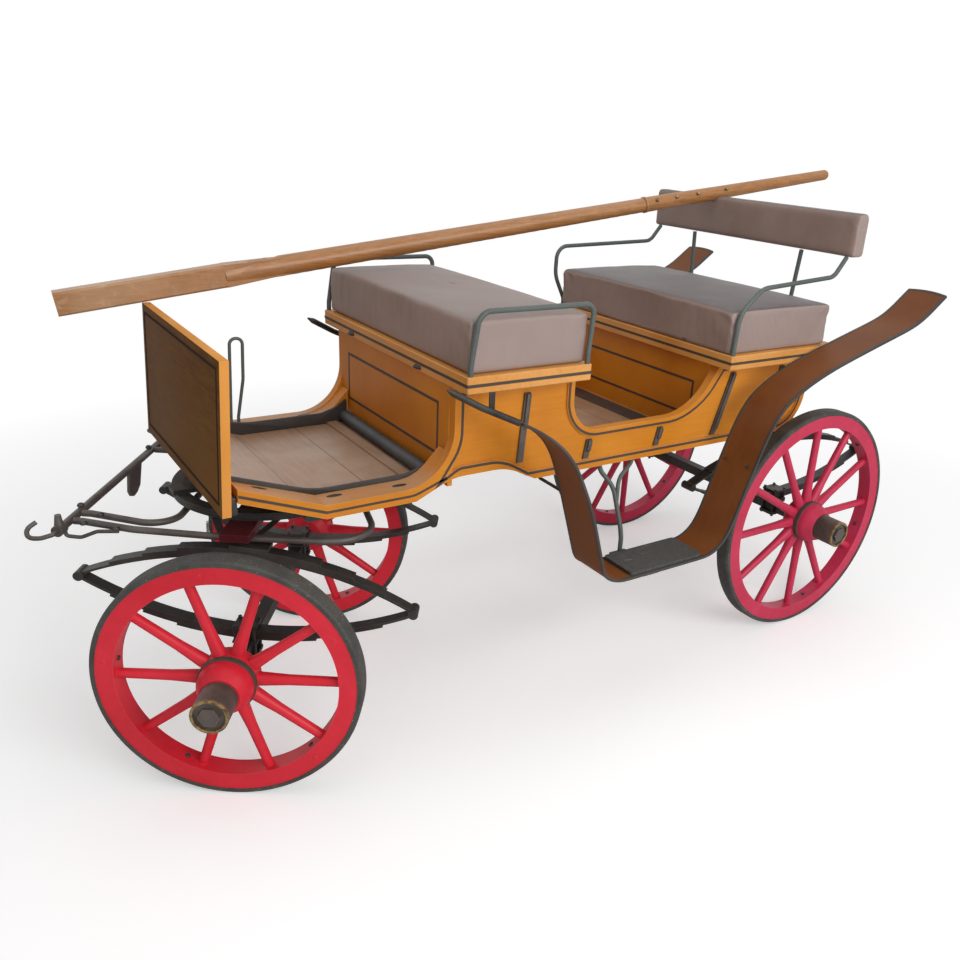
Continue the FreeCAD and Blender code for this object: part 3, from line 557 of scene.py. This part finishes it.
def joined(pieces):
    activate(pieces[0])
    for piece in pieces:
        piece.select_set(True)
    bpy.ops.object.join()
    return bpy.context.object


def turnedOutwards(piece):
    editAll(piece)
    bpy.ops.mesh.normals_make_consistent(inside=False)
    leaveEdit()
    return piece


def settle(piece, name, finish, body, place=bodyPlace, smooth=sharpAngle):
    # the piece's place goes into its mesh, and it rides on its body
    activate(piece)
    piece.matrix_world = place @ piece.matrix_world
    applyPlace()
    bpy.ops.object.shade_smooth_by_angle(angle=math.radians(smooth))
    piece.name = name
    piece.data.name = name
    piece.data.materials.clear()
    piece.data.materials.append(finishes[finish])
    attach(piece, body)
    return piece


def pushedOut(spots, distance):
    # the same outline, each run moved outwards and each round corner kept round
    count = len(spots)
    turn = sum(a[0] * b[1] - b[0] * a[1] for a, b in zip(spots, spots[1:] + spots[:1]))
    side = math.copysign(1, turn)
    result = []
    for i, (a, b, radius) in enumerate(spots):
        here = Vector((a, b))
        before = (here - Vector(spots[i - 1][:2])).normalized()
        after = (Vector(spots[(i + 1) % count][:2]) - here).normalized()
        outBefore = Vector((before.y, -before.x)) * side
        outAfter = Vector((after.y, -after.x)) * side
        moved = here + (outBefore + outAfter) * distance / (1 + outBefore.dot(outAfter))
        convex = before.cross(after) * side > 0
        result.append((moved.x, moved.y, max(radius + (distance if convex else -distance), 0) if radius else 0))
    return result


cornerSteps = 7
samePlace = 0.0005


def drawnFace(spots, across):
    # a flat face drawn corner by corner, then its corners rounded; across turns (a, b) into a place
    places = [Vector(across(a, b)) for a, b, radius in spots]
    bpy.ops.mesh.primitive_plane_add(size=0.01, location=(0, 0, 0))
    piece = bpy.context.object
    bpy.ops.object.mode_set(mode="EDIT")
    bpy.ops.mesh.select_mode(type="VERT")
    bpy.ops.mesh.select_all(action="SELECT")
    bpy.ops.mesh.merge(type="CENTER")
    bpy.ops.transform.translate(value=places[0])
    for start, end in zip(places, places[1:]):
        bpy.ops.mesh.extrude_region_move(TRANSFORM_OT_translate={"value": end - start})
    bpy.ops.mesh.select_all(action="SELECT")
    bpy.ops.mesh.edge_face_add()
    for i, (a, b, radius) in enumerate(spots):
        if radius:
            before = (places[i] - places[i - 1]).normalized()
            after = (places[(i + 1) % len(places)] - places[i]).normalized()
            angle = before.angle(after)
            pick("VERT", lambda point: (point.co - places[i]).length < samePlace)
            bpy.ops.mesh.bevel(offset=radius * math.tan(angle / 2), segments=max(3, round(angle * cornerSteps)),
                               affect="VERTICES", clamp_overlap=False)
    leaveEdit()
    return piece


lineThickness = 0.0016


def stripeRing(spots, across, width):
    # a painted line: the outline's border, width wide
    piece = drawnFace(spots, across)
    editAll(piece)
    pick("FACE", lambda face: True)
    bpy.ops.mesh.inset(thickness=width)
    bpy.ops.mesh.delete(type="FACE")
    leaveEdit()
    useModifier(piece, "SOLIDIFY", thickness=lineThickness, offset=0)
    return piece


def stripePatch(spots, across, thickness=lineThickness):
    piece = drawnFace(spots, across)
    useModifier(piece, "SOLIDIFY", thickness=thickness, offset=0)
    return piece


def bodyPiece(piece, name, finish, smooth=sharpAngle):
    return settle(piece, name, finish, "carriage_body", smooth=smooth)


def bothSides(left, name, finish, smooth=sharpAngle):
    # the piece on the left, and its mirror image on the right
    right = left.copy()
    right.data = left.data.copy()
    scene.collection.objects.link(right)
    right.scale.y = -1
    activate(right)
    applyPlace()
    turnedOutwards(right)
    bodyPiece(left, name + "_left", finish, smooth)
    bodyPiece(right, name + "_right", finish, smooth)
    return {"left": left, "right": right}


sideStripe = {
    # the sunk field of a side, and the line painted on the moulding around it
    "field": ((1.690, 1.222, 0), (1.690, 1.050, 0.150), (1.756, 0.952, 0), (1.706, 0.981, 0.060),
              (1.530, 0.981, 0.190), (1.420, 0.916, 0), (0.008, 0.916, 0.130), (0.008, 1.186, 0), (0.494, 1.186, 0),
              (0.618, 1.006, 0.276), (1.270, 1.006, 0.152), (1.270, 1.222, 0)),
    "reach": 0.012,
    "width": 0.0095,
    "face": 0.4682,
    # along the sill to where it rises
    "sill": ((1.752, 0.953, 0), (1.868, 0.911, 0.10), (2.171, 0.910, 0), (2.171, 0.902, 0), (1.866, 0.903, 0.10),
             (1.750, 0.945, 0)),
    "noseStart": (2.171, 0.906),
    "noseEnd": (2.431, 0.999),
    "noseFaces": (0.4682, 0.4472),
}


def addSideStripes():
    values = sideStripe
    face = values["face"]
    ring = stripeRing(pushedOut(values["field"], values["reach"]), lambda a, b: (a, face, b), values["width"])
    sill = stripePatch(values["sill"], lambda a, b: (a, face, b))
    (x0, z0), (x1, z1) = values["noseStart"], values["noseEnd"]
    y0, y1 = values["noseFaces"]
    half = values["width"] / 2
    nose = stripePatch(((x0, z0 - half, 0), (x1, z1 - half, 0), (x1, z1 + half, 0), (x0, z0 + half, 0)),
                       lambda a, b: (a, y0 + (y1 - y0) * (a - x0) / (x1 - x0), b))
    bothSides(joined([ring, sill, nose]), "side_stripe", "stripe")
    print("side stripes added")


frameBands = {
    "front_seat_band": {"low": (1.254, -0.567), "high": (1.742, 0.567), "middle": 1.284},
    "rear_seat_band": {"low": (-0.052, -0.567), "high": (0.569, 0.567), "middle": 1.247},
}
bandHeight = 0.0105
bandLift = 0.0002


def addFrameBands():
    for name, values in frameBands.items():
        low = (*(v - bandLift for v in values["low"]), values["middle"] - bandHeight / 2)
        high = (*(v + bandLift for v in values["high"]), values["middle"] + bandHeight / 2)
        piece = addBlock(low, high)
        editAll(piece)
        pick("FACE", lambda face: abs(face.normal.z) > 0.5)
        bpy.ops.mesh.delete(type="FACE")
        leaveEdit()
        useModifier(piece, "SOLIDIFY", thickness=lineThickness, offset=0)
        bodyPiece(piece, name, "stripe")
    print("seat frame bands added")


panelLines = {
    # seat box boards: the board's face, then the painted line's y and z range and its width
    "front_panel_line": {"face": 1.7282, "y": (-0.370, 0.362), "z": (0.992, 1.182), "width": 0.0105},
    "rear_panel_line": {"face": 0.5362, "y": (-0.352, 0.352), "z": (0.974, 1.126), "width": 0.0105},
}


def addPanelLines():
    for name, values in panelLines.items():
        (y0, y1), (z0, z1) = values["y"], values["z"]
        piece = stripeRing(((y0, z0, 0), (y1, z0, 0), (y1, z1, 0), (y0, z1, 0)),
                           lambda a, b: (values["face"], a, b), values["width"])
        bodyPiece(piece, name, "stripe")
    print("panel lines added")


sillEdge = {
    # dark strip that stands up along the inner edge of each front sill
    "outline": ((1.742, 0.889, 0), (1.742, 0.997, 0.006), (1.785, 0.966, 0.05), (1.850, 0.946, 0.06),
                (2.174, 0.946, 0.3), (2.428, 1.036, 0), (2.428, 0.992, 0), (2.174, 0.901, 0), (1.900, 0.889, 0)),
    "y": 0.3675,
    "thickness": 0.0075,
    "edge": 0.0015,
    # worn oval bolt plates on top of the sill: x, y, z and slope
    "plates": ((2.352, 0.392, 0.9922, 19.3), (2.120, 0.405, 0.9302, 0), (1.900, 0.418, 0.9302, 0)),
    "plateSize": (0.052, 0.020, 0.0020),
    "plateEdge": 0.0006,
}


def addSillEdges():
    values = sillEdge
    strip = stripePatch(values["outline"], lambda a, b: (a, values["y"], b), values["thickness"])
    bothSides(softened(strip, values["edge"]), "sill_edge", "binding")
    plates = []
    for x, y, z, slope in values["plates"]:
        plate = addRound(24, 0.5, 1)
        plate.location = (x, y, z)
        plate.scale = values["plateSize"]
        plate.rotation_euler.y = -math.radians(slope)
        applyPlace()
        plates.append(softened(plate, values["plateEdge"]))
    bothSides(joined(plates), "sill_plates", "iron")
    print("sill edges added")


seatFittings = {
    "catches": ((1.742, -0.302, 1.270), (1.742, 0.240, 1.270)),
    "catchSize": (0.012, 0.044, 0.014),
    "catchSunk": 0.001,
    "catchTaper": (1, 0.6, 0.55),
    "catchStep": 0.0015,
    "catchEdge": 0.0025,
    "floorStripLow": (0.548, -0.395, 0.9006),
    "floorStripHigh": (0.640, 0.395, 0.9040),
    "floorStripEdge": 0.0012,
}


def addSeatFittings():
    values = seatFittings
    depth, length, height = values["catchSize"]
    catches = []
    for x, y, z in values["catches"]:
        block = addBlock((x - values["catchSunk"], y - length / 2, z - height / 2),
                         (x + depth, y + length / 2, z + height / 2))
        editAll(block)
        pick("FACE", lambda face: face.normal.x > 0.5)
        bpy.ops.transform.resize(value=values["catchTaper"])
        bpy.ops.mesh.inset(thickness=values["catchStep"], depth=values["catchStep"])
        leaveEdit()
        catches.append(softened(block, values["catchEdge"]))
    bodyPiece(joined(catches), "seat_catches", "iron")
    # a dark strip on the rear floor, before the seat box
    floorStrip = softened(addBlock(values["floorStripLow"], values["floorStripHigh"]), values["floorStripEdge"])
    bodyPiece(floorStrip, "rear_floor_strip", "binding")
    print("catches and rear floor strip added")


strapRibs = {
    # each flat iron on a side: x and z of its top and of its foot, and where its raised part ends along it
    "irons": ((1.441, 1.206, 1.460, 0.956, 0.42), (1.155, 0.997, 1.167, 0.925, 0.55),
              (0.804, 0.997, 0.822, 0.925, 0.55), (0.434, 1.178, 0.515, 0.925, 0.86),
              (0.142, 1.178, 0.152, 0.925, 0.86)),
    "face": 0.4686,
    "height": 0.0075,
    "width": 0.0165,
    "toe": 0.12,
    "toeLimit": 0.98,
    "overlap": 0.003,
    "shift": 0.0025,
    "edge": 0.0016,
}
# shares of a round head's height: its rounding, and how far its middle stands out
headRound = 0.6
headRise = 0.45


def roundHead(place, axis, radius, height, sides=16):
    # a domed bolt head whose foot is at place and whose crown is along axis
    head = addRound(sides, radius, height)
    editAll(head)
    pick("FACE", lambda face: face.normal.z > 0.5)
    bpy.ops.mesh.bevel(offset=height * headRound, segments=3, affect="EDGES")
    leaveEdit()
    head.matrix_world = alongAxis(Vector(place) + Vector(axis).normalized() * height * headRise, axis)
    applyPlace()
    return head


def addStrapRibs():
    # the flat irons are thicker above and taper off towards the foot
    values = strapRibs
    face, height = values["face"], values["height"]
    ribs = []
    for topX, topZ, footX, footZ, share in values["irons"]:
        end = topZ + (footZ - topZ) * share
        toe = topZ + (footZ - topZ) * min(values["toeLimit"], share + values["toe"])
        slope = (footX - topX) / (footZ - topZ)
        start = topZ - values["overlap"]
        rib = stripePatch(((start, face, 0), (start, face + height, 0), (end, face + height, 0), (toe, face, 0)),
                          lambda a, b: (topX + (a - topZ) * slope - values["shift"], b, a), values["width"])
        ribs.append(softened(rib, values["edge"]))
    bothSides(joined(ribs), "strap_ribs", "bareIron")
    print("strap ribs added")


dashBoard = {
    # the board leans back: x of its front face at foot and top
    "front": (2.480, 2.458),
    "z": (0.936, 1.402),
    "half": 0.443,
    "thickness": 0.028,
    "edge": 0.0022,
    "footLow": (2.4315, -0.436, 0.936),
    "footHigh": (2.4506, 0.436, 0.992),
    "footEdge": 0.004,
    "line": {"y": 0.418, "z": (0.967, 1.378), "width": 0.009, "lift": 0.0002},
}


def addDashboard():
    values = dashBoard
    (foot, top), (z0, z1), half = values["front"], values["z"], values["half"]
    board = addBlock((foot - values["thickness"], -half, z0), (foot, half, z1))
    editAll(board)
    pick("FACE", lambda face: face.normal.z > 0.5)
    bpy.ops.transform.translate(value=(top - foot, 0, 0))
    leaveEdit()
    bodyPiece(softened(board, values["edge"]), "dash_board", "dash")
    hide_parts("dashboard")
    rail = softened(addBlock(values["footLow"], values["footHigh"]), values["footEdge"])
    bodyPiece(rail, "dash_foot", "iron")
    line = values["line"]
    (low, high), across = line["z"], line["y"]
    lean = (top - foot) / (z1 - z0)
    # a dark line round the face, painted as the shade of a groove
    piece = stripeRing(((-across, low, 0), (across, low, 0), (across, high, 0), (-across, high, 0)),
                       lambda a, b: (foot + lean * (b - z0) + line["lift"], a, b), line["width"])
    bodyPiece(piece, "dash_line", "groove")
    print("dashboard made")


mudguardBoard = {
    # x and z of each row across the board, from front tip to tail, and its outer edge where the board is narrower
    "rows": ((1.560, 1.152, 0.620), (1.535, 1.142, 0.638), (1.510, 1.128, 0.664), (1.484, 1.108, 0.691),
             (1.459, 1.084, 0.711), (1.436, 1.053, 0.727), (1.417, 1.018, 0.738), (1.402, 0.982, 0.746),
             (1.387, 0.940, 0.754), (1.371, 0.895, 0.764), (1.354, 0.840), (1.328, 0.758), (1.306, 0.685),
             (1.290, 0.633), (1.279, 0.604), (1.258, 0.586), (1.230, 0.573), (1.195, 0.565), (1.150, 0.565),
             (1.060, 0.565), (0.960, 0.565), (0.860, 0.565), (0.800, 0.565), (0.762, 0.569), (0.724, 0.585),
             (0.692, 0.613), (0.668, 0.654), (0.648, 0.705), (0.621, 0.780), (0.595, 0.850), (0.566, 0.925),
             (0.541, 0.987), (0.514, 1.043), (0.485, 1.088), (0.450, 1.123), (0.408, 1.152), (0.340, 1.189),
             (0.250, 1.225), (0.162, 1.254), (0.060, 1.283), (-0.055, 1.315), (-0.155, 1.342), (-0.228, 1.362),
             (-0.285, 1.381), (-0.331, 1.404), (-0.372, 1.430), (-0.410, 1.458), (-0.456, 1.490)),
    "outer": 0.770,
    "inner": 0.590,
    "thickness": 0.0076,
    "edgeShare": 0.22,
    "tailStart": -0.44,
    "tailCrown": 0.009,
    "crownLean": 0.7,
    "tailBand": (-0.02, 0.2),
    "edging": 0.010,
    "edgingThickness": 0.0104,
    "edgingLap": 0.0012,
    # the joint behind the step: x, half its width, z and thickness
    "joint": (0.800, 0.002, 0.565, 0.0084),
    # bolt heads on the rising run: x, y, z, the way the board faces there, and their lift, radius and height
    "bolts": ((0.5865, 0.628, 0.8860), (0.5865, 0.738, 0.8860)),
    "boltFace": (0.933, 0, 0.361),
    "boltLift": 0.004,
    "bolt": (0.0065, 0.004),
}


def boardStrip(rows, thickness, columns):
    # a grid bent along the board's line; each row is x, z, its inner and its outer edge
    last = len(rows) - 1
    bpy.ops.mesh.primitive_grid_add(x_subdivisions=last, y_subdivisions=columns, size=1)
    strip = bpy.context.object
    for point in strip.data.vertices:
        x, z, inner, outer = rows[round((point.co.x + 0.5) * last)]
        share = point.co.y + 0.5
        atTail = x < mudguardBoard["tailStart"]
        drop = mudguardBoard["tailCrown"] * (1 - (2 * share - 1) ** 2) if atTail else 0
        point.co = (x - drop, inner + (outer - inner) * share, z + drop * mudguardBoard["crownLean"])
    useModifier(strip, "SUBSURF", levels=2, render_levels=2, boundary_smooth="PRESERVE_CORNERS")
    useModifier(strip, "SOLIDIFY", thickness=thickness, offset=0)
    return softened(turnedOutwards(strip), thickness * mudguardBoard["edgeShare"])


def addMudguards():
    values = mudguardBoard
    inner, edging = values["inner"], values["edging"]
    rows = [(row + (values["outer"],))[:3] for row in values["rows"]]
    board = boardStrip([(x, z, inner, outer) for x, z, outer in rows], values["thickness"], 4)
    # a dark edging bound round both long edges and the tail, and the joint behind the step
    thick = values["edgingThickness"]
    lap = values["edgingLap"]
    near = boardStrip([(x, z, outer - edging, outer + lap) for x, z, outer in rows], thick, 1)
    far = boardStrip([(x, z, inner - lap, inner + edging) for x, z, outer in rows], thick, 1)
    (x0, z0, outer), (x1, z1, _) = rows[-1], rows[-2]
    tail = boardStrip([(x0 + (x1 - x0) * share, z0 + (z1 - z0) * share, inner, outer)
                       for share in values["tailBand"]], thick, 4)
    middle, half, height, jointThickness = values["joint"]
    joint = boardStrip([(x, height, inner, outer) for x in (middle - half, middle + half)], jointThickness, 1)
    trim = joined([near, far, tail, joint])
    facing = Vector(values["boltFace"])
    bolts = joined([roundHead(Vector(place) + facing * values["boltLift"], facing, *values["bolt"])
                    for place in values["bolts"]])
    for side, piece in bothSides(board, "mudguard_board", "mudguard", 40).items():
        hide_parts("mudguard_" + side)
    bothSides(trim, "mudguard_edging", "binding", 40)
    bothSides(bolts, "mudguard_bolts", "iron")
    print("mudguard boards made,", len(board.data.polygons), "faces each")


cushions = {
    # corners, how tight it is filled, how far it swells, its top's crown, its folds, how far its sides pull in,
    # and the ripples of its ends: length, slant, depth and reach
    "front_cushion": {"low": (1.266, -0.546, 1.3136), "high": (1.726, 0.546, 1.486), "fill": 0.7, "swell": 0.003,
                      "crown": 0.006, "folds": 0.0022, "pull": 0.003, "ripples": (0.0115, 0.06, 0.0005, (-1.0, 1.0))},
    "rear_cushion": {"low": (-0.006, -0.545, 1.2766), "high": (0.570, 0.545, 1.444), "fill": 0.6, "swell": 0.0035,
                     "crown": 0.010, "folds": 0.0036, "pull": 0.005, "ripples": (0.030, -0.42, 0.0030, (0.0, 0.95))},
    "backrest": {"low": (-0.092, -0.600, 1.6325), "high": (-0.021, 0.592, 1.804), "fill": 0.8, "swell": 0.0015,
                 "crown": 0.000, "folds": 0.0007, "pull": 0.001, "ripples": (0.012, 0.0, 0.0003, (-1.0, 1.0))},
}
cushionRound = 0.010
cushionVoxel = 0.010
coverPressure = 4
coverFrames = 20
cornerDrop = 0.004
topDents = 0.0012


def swell(piece, cap):
    # the cover is blown up a little from within, then held to its cap
    start = [point.co.copy() for point in piece.data.vertices]
    cloth = piece.modifiers.new("cover", "CLOTH")
    cloth.settings.use_pressure = True
    cloth.settings.uniform_pressure_force = coverPressure
    cloth.settings.effector_weights.gravity = 0
    cloth.point_cache.frame_start = 1
    cloth.point_cache.frame_end = coverFrames
    for frameNumber in range(1, coverFrames + 1):
        scene.frame_set(frameNumber)
    activate(piece)
    bpy.ops.object.modifier_apply(modifier=cloth.name)
    scene.frame_set(1)
    for point, origin in zip(piece.data.vertices, start):
        step = point.co - origin
        if step.length > cap:
            point.co = origin + step.normalized() * cap


def foldCover(piece, values):
    # sides drawn in between the corners, upright folds on them, gathers at the corners, a crowned top
    low, high = Vector(values["low"]), Vector(values["high"])
    middle, half = (low + high) / 2, (high - low) / 2
    mesh = piece.data
    normals = [point.normal.copy() for point in mesh.vertices]
    for point, normal in zip(mesh.vertices, normals):
        x, y, z = ((point.co[i] - middle[i]) / half[i] for i in range(3))
        rise = max(0.0, min(1.0, (z + 1) / 2))
        side = max(0.0, 1 - abs(normal.z) * 1.4)
        fade = math.sin(math.pi * rise) ** 0.6
        along = point.co.x if abs(normal.y) > abs(normal.x) else point.co.y
        across = y if abs(normal.x) > abs(normal.y) else x
        corner = max(0.0, abs(across) - 0.72) / 0.28
        wave = noise.noise(Vector((along * 30, point.co.z * 5 + 3.1, normal.x * 2)))
        slow = noise.noise(Vector((along * 7, point.co.z * 4, 8.2)))
        gather = noise.noise(Vector((along * 26 + point.co.z * 22, point.co.z * 17, 1.7)))
        length, slant, strength, (start, end) = values["ripples"]
        if abs(normal.y) > 0.8 and start <= x <= end:
            wide = min(x - start, end - x, 0.3) / 0.3
            turn = (point.co.x + slant * point.co.z) / length + 0.8 * noise.noise(point.co * 6)
            point.co += normal * strength * math.sin(2 * math.pi * turn) * wide * fade * (1.2 - rise)
        push = values["folds"] * (wave * fade * (0.4 + 0.8 * rise) + slow * 1.2 + gather * corner * 3.0 * rise)
        pull = values["pull"] * math.sin(math.pi * rise) * (1 - across * across)
        point.co += normal * side * (push - pull * 0.5)
        if z > 0:
            point.co.z += values["crown"] * (1 - x * x) * (1 - y ** 4) * z - cornerDrop * (abs(x) * abs(y)) ** 3
            point.co.z += topDents * noise.noise(point.co * 9) * max(0, normal.z)
        point.co.z = max(point.co.z, low.z)
    mesh.update()


def addCushion(name, values):
    piece = addBlock(values["low"], values["high"])
    useModifier(piece, "BEVEL", width=cushionRound, segments=4)
    useModifier(piece, "REMESH", mode="VOXEL", voxel_size=cushionVoxel)
    swell(piece, values["swell"])
    useModifier(piece, "SUBSURF", levels=1, render_levels=1)
    foldCover(piece, values)
    bodyPiece(piece, name + "_cover", "cover", 60)
    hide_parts(name)
    print(name, "made,", len(piece.data.polygons), "faces")


def addCushions():
    for name, values in cushions.items():
        addCushion(name, values)


poleFittings = {
    "butt": (2.721, -0.519, 1.397),
    "tip": (-0.705, -0.134, 1.919),
    "collar": 2.400,
    "collarRadius": 0.0345,
    "collarWidth": 0.014,
    "collarEdge": 0.0015,
    "studs": (2.452, 2.560, 2.678, 2.840),
    "studRadius": 0.008,
    "studHeight": 0.010,
    # how far the studs are turned to the side and up, and how deep they are let in
    "studTurn": (0.85, 0.5),
    "studSunk": 0.001,
    "taper": ((2.400, 0.0325), (3.470, 0.024)),
    "holes": (0.040, 0.137, 0.251),
    "holeRadius": 0.007,
    # a hole's mark: how far it stands from the pole's line, how far below it, and its thickness
    "holeMark": (0.0338, 0.008, 0.0012),
}


def addPoleFittings():
    values = poleFittings
    butt, tip = Vector(values["butt"]), Vector(values["tip"])
    line = (tip - butt).normalized()
    side = line.cross(Vector((0, 0, 1))).normalized()
    up = side.cross(line)
    ring = addRound(40, values["collarRadius"], values["collarWidth"])
    ring.matrix_world = alongAxis(butt + line * values["collar"], line)
    applyPlace()
    bodyPiece(softened(ring, values["collarEdge"]), "pole_collar", "pole")
    (d0, r0), (d1, r1) = values["taper"]
    sideways, upwards = values["studTurn"]
    outward = (side * sideways + up * upwards).normalized()
    studs = []
    for distance in values["studs"]:
        radius = r0 + (r1 - r0) * (distance - d0) / (d1 - d0)
        studs.append(roundHead(butt + line * distance + outward * (radius - values["studSunk"]), outward,
                               values["studRadius"], values["studHeight"]))
    bodyPiece(joined(studs), "pole_studs", "brass")
    # the holes are dark discs on the pole: painted shade where the hollows are
    reach, drop, depth = values["holeMark"]
    holes = [roundHead(butt + line * distance + side * reach - up * drop, side, values["holeRadius"], depth)
             for distance in values["holes"]]
    bodyPiece(joined(holes), "pole_hole_shades", "groove")
    print("pole fittings added")


wheels = {
    # the rim's outer face from the carriage's middle plane, outside radius and rim width, number of felloes, and
    # the angle where the first one ends
    "front": {"face": 0.591, "radius": 0.414, "rim": 0.072, "joints": 5, "turn": 9, "finish": "crimson"},
    "rear": {"face": 0.627, "radius": 0.500, "rim": 0.062, "joints": 6, "turn": 15, "finish": "rose"},
}
wheelTrim = {"bandRadius": 0.0908, "bandWidth": 0.021, "bandStart": 0.0235, "capRadius": 0.056, "capEnd": 0.168,
             "bandDepth": 0.004, "tyre": 0.018, "felloe": 0.056, "boltGap": 0.0005,
             # a lip's depth, width and how far it stands out; a bolt's radius and height; a plug's, and its place
             "lip": (0.0085, 0.010, 0.0006), "bolt": (0.0085, 0.007), "plug": (0.0075, 0.0022), "plugPlace": 0.030}


def wheelPlace(end, side):
    home = steering if end == "front" else bodyPlace
    turn = Matrix.Rotation(0 if side > 0 else math.pi, 4, "Z")
    return home @ Matrix.Translation((0, side * wheels[end]["face"], wheels[end]["radius"])) @ turn


def turnedRing(radius, outer, y0, y1, edge=0.001):
    # a ring on the axle's line, from y0 to y1
    bpy.ops.mesh.primitive_cylinder_add(vertices=64, radius=outer, depth=y1 - y0, location=(0, (y0 + y1) / 2, 0),
                                        rotation=(math.pi / 2, 0, 0), end_fill_type="NOTHING")
    applyPlace()
    ring = bpy.context.object
    useModifier(ring, "SOLIDIFY", thickness=outer - radius, offset=-1)
    return softened(ring, edge)


forgings = {
    # places on the turned fore-carriage: ahead of the king pin, left of it, up
    "ironBolts": ((0.526, 0.278, 0.842), (0.462, 0.402, 0.838), (0.440, 0.335, 0.838), (0.352, 0.430, 0.838)),
    "bolt": (0.011, 0.012),
    # two bright studs that stand up before the bed
    "studs": (((0.104, 0.352, 0.843), (0.124, 0.300, 0.775)), ((0.056, 0.205, 0.815), (0.062, 0.262, 0.716))),
    "studRadius": 0.0042,
    "studEdge": 0.001,
    # nuts under the steps, their radius and height
    "stepNuts": ((1.107, 0.745, 0.561), (0.892, 0.745, 0.561), (1.107, 0.625, 0.561), (0.892, 0.625, 0.561)),
    "nut": (0.010, 0.014),
}


def sixSided(places, up, size):
    # bolt heads or nuts on both sides
    return joined([roundHead((x, y * side, z), (0, 0, up), *size, 6) for x, y, z in places for side in (1, -1)])


def addForgings():
    values = forgings
    heads = sixSided(values["ironBolts"], 1, values["bolt"])
    settle(heads, "fore_iron_bolts", "iron", "fore_carriage", steering)
    studs = []
    for top, foot in values["studs"]:
        top, foot = Vector(top), Vector(foot)
        stud = addRound(16, values["studRadius"], (top - foot).length)
        stud.matrix_world = alongAxis((top + foot) / 2, top - foot)
        applyPlace()
        studs.append(softened(stud, values["studEdge"]))
    settle(joined(studs), "fore_studs", "brightSteel", "fore_carriage", steering)
    bodyPiece(sixSided(values["stepNuts"], -1, values["nut"]), "step_nuts", "iron")
    print("forged fittings added")


def trimWheel(name, values, place):
    trim = wheelTrim
    body = name + "_running_wheel"
    middle = -values["rim"] / 2
    start = middle + trim["bandStart"]
    radius, end = trim["bandRadius"], start + trim["bandWidth"]
    band = turnedRing(radius - trim["bandDepth"], radius, start, end)
    settle(band, name + "_nave_band", "band", body, place)
    radius, end = trim["capRadius"], trim["capEnd"]
    depth, width, proud = trim["lip"]
    lip = turnedRing(radius - depth, radius + proud, end - width, end + proud)
    settle(lip, name + "_cap_lip", "brass", body, place)
    # bolt heads inside the rim and wooden plugs in its face, both at the joints of the felloes
    inner = values["radius"] - trim["tyre"] - trim["felloe"]
    heads, plugs = [], []
    for i in range(values["joints"]):
        angle = math.radians(values["turn"] + 360 * i / values["joints"])
        out = Vector((math.cos(angle), 0, math.sin(angle)))
        heads.append(roundHead(out * (inner + trim["boltGap"]) + Vector((0, middle, 0)), -out, *trim["bolt"], 8))
        plugFoot = out * (inner + trim["plugPlace"]) - Vector((0, proud, 0))
        plugs.append(roundHead(plugFoot, (0, 1, 0), *trim["plug"]))
    settle(joined(heads), name + "_felloe_bolts", "iron", body, place)
    settle(joined(plugs), name + "_felloe_plugs", values["finish"], body, place)


def addWheelTrim():
    for end, values in wheels.items():
        for sideName, side in (("left", 1), ("right", -1)):
            trimWheel(end + "_" + sideName, values, wheelPlace(end, side))
    print("wheel trim added")


addStudio()
addFloor()
makeFinishes()
dressNodes()
print("studio and finishes ready")
addSideStripes()
addFrameBands()
addPanelLines()
addSillEdges()
addSeatFittings()
addStrapRibs()
addDashboard()
addMudguards()
addCushions()
addPoleFittings()
addForgings()
addWheelTrim()
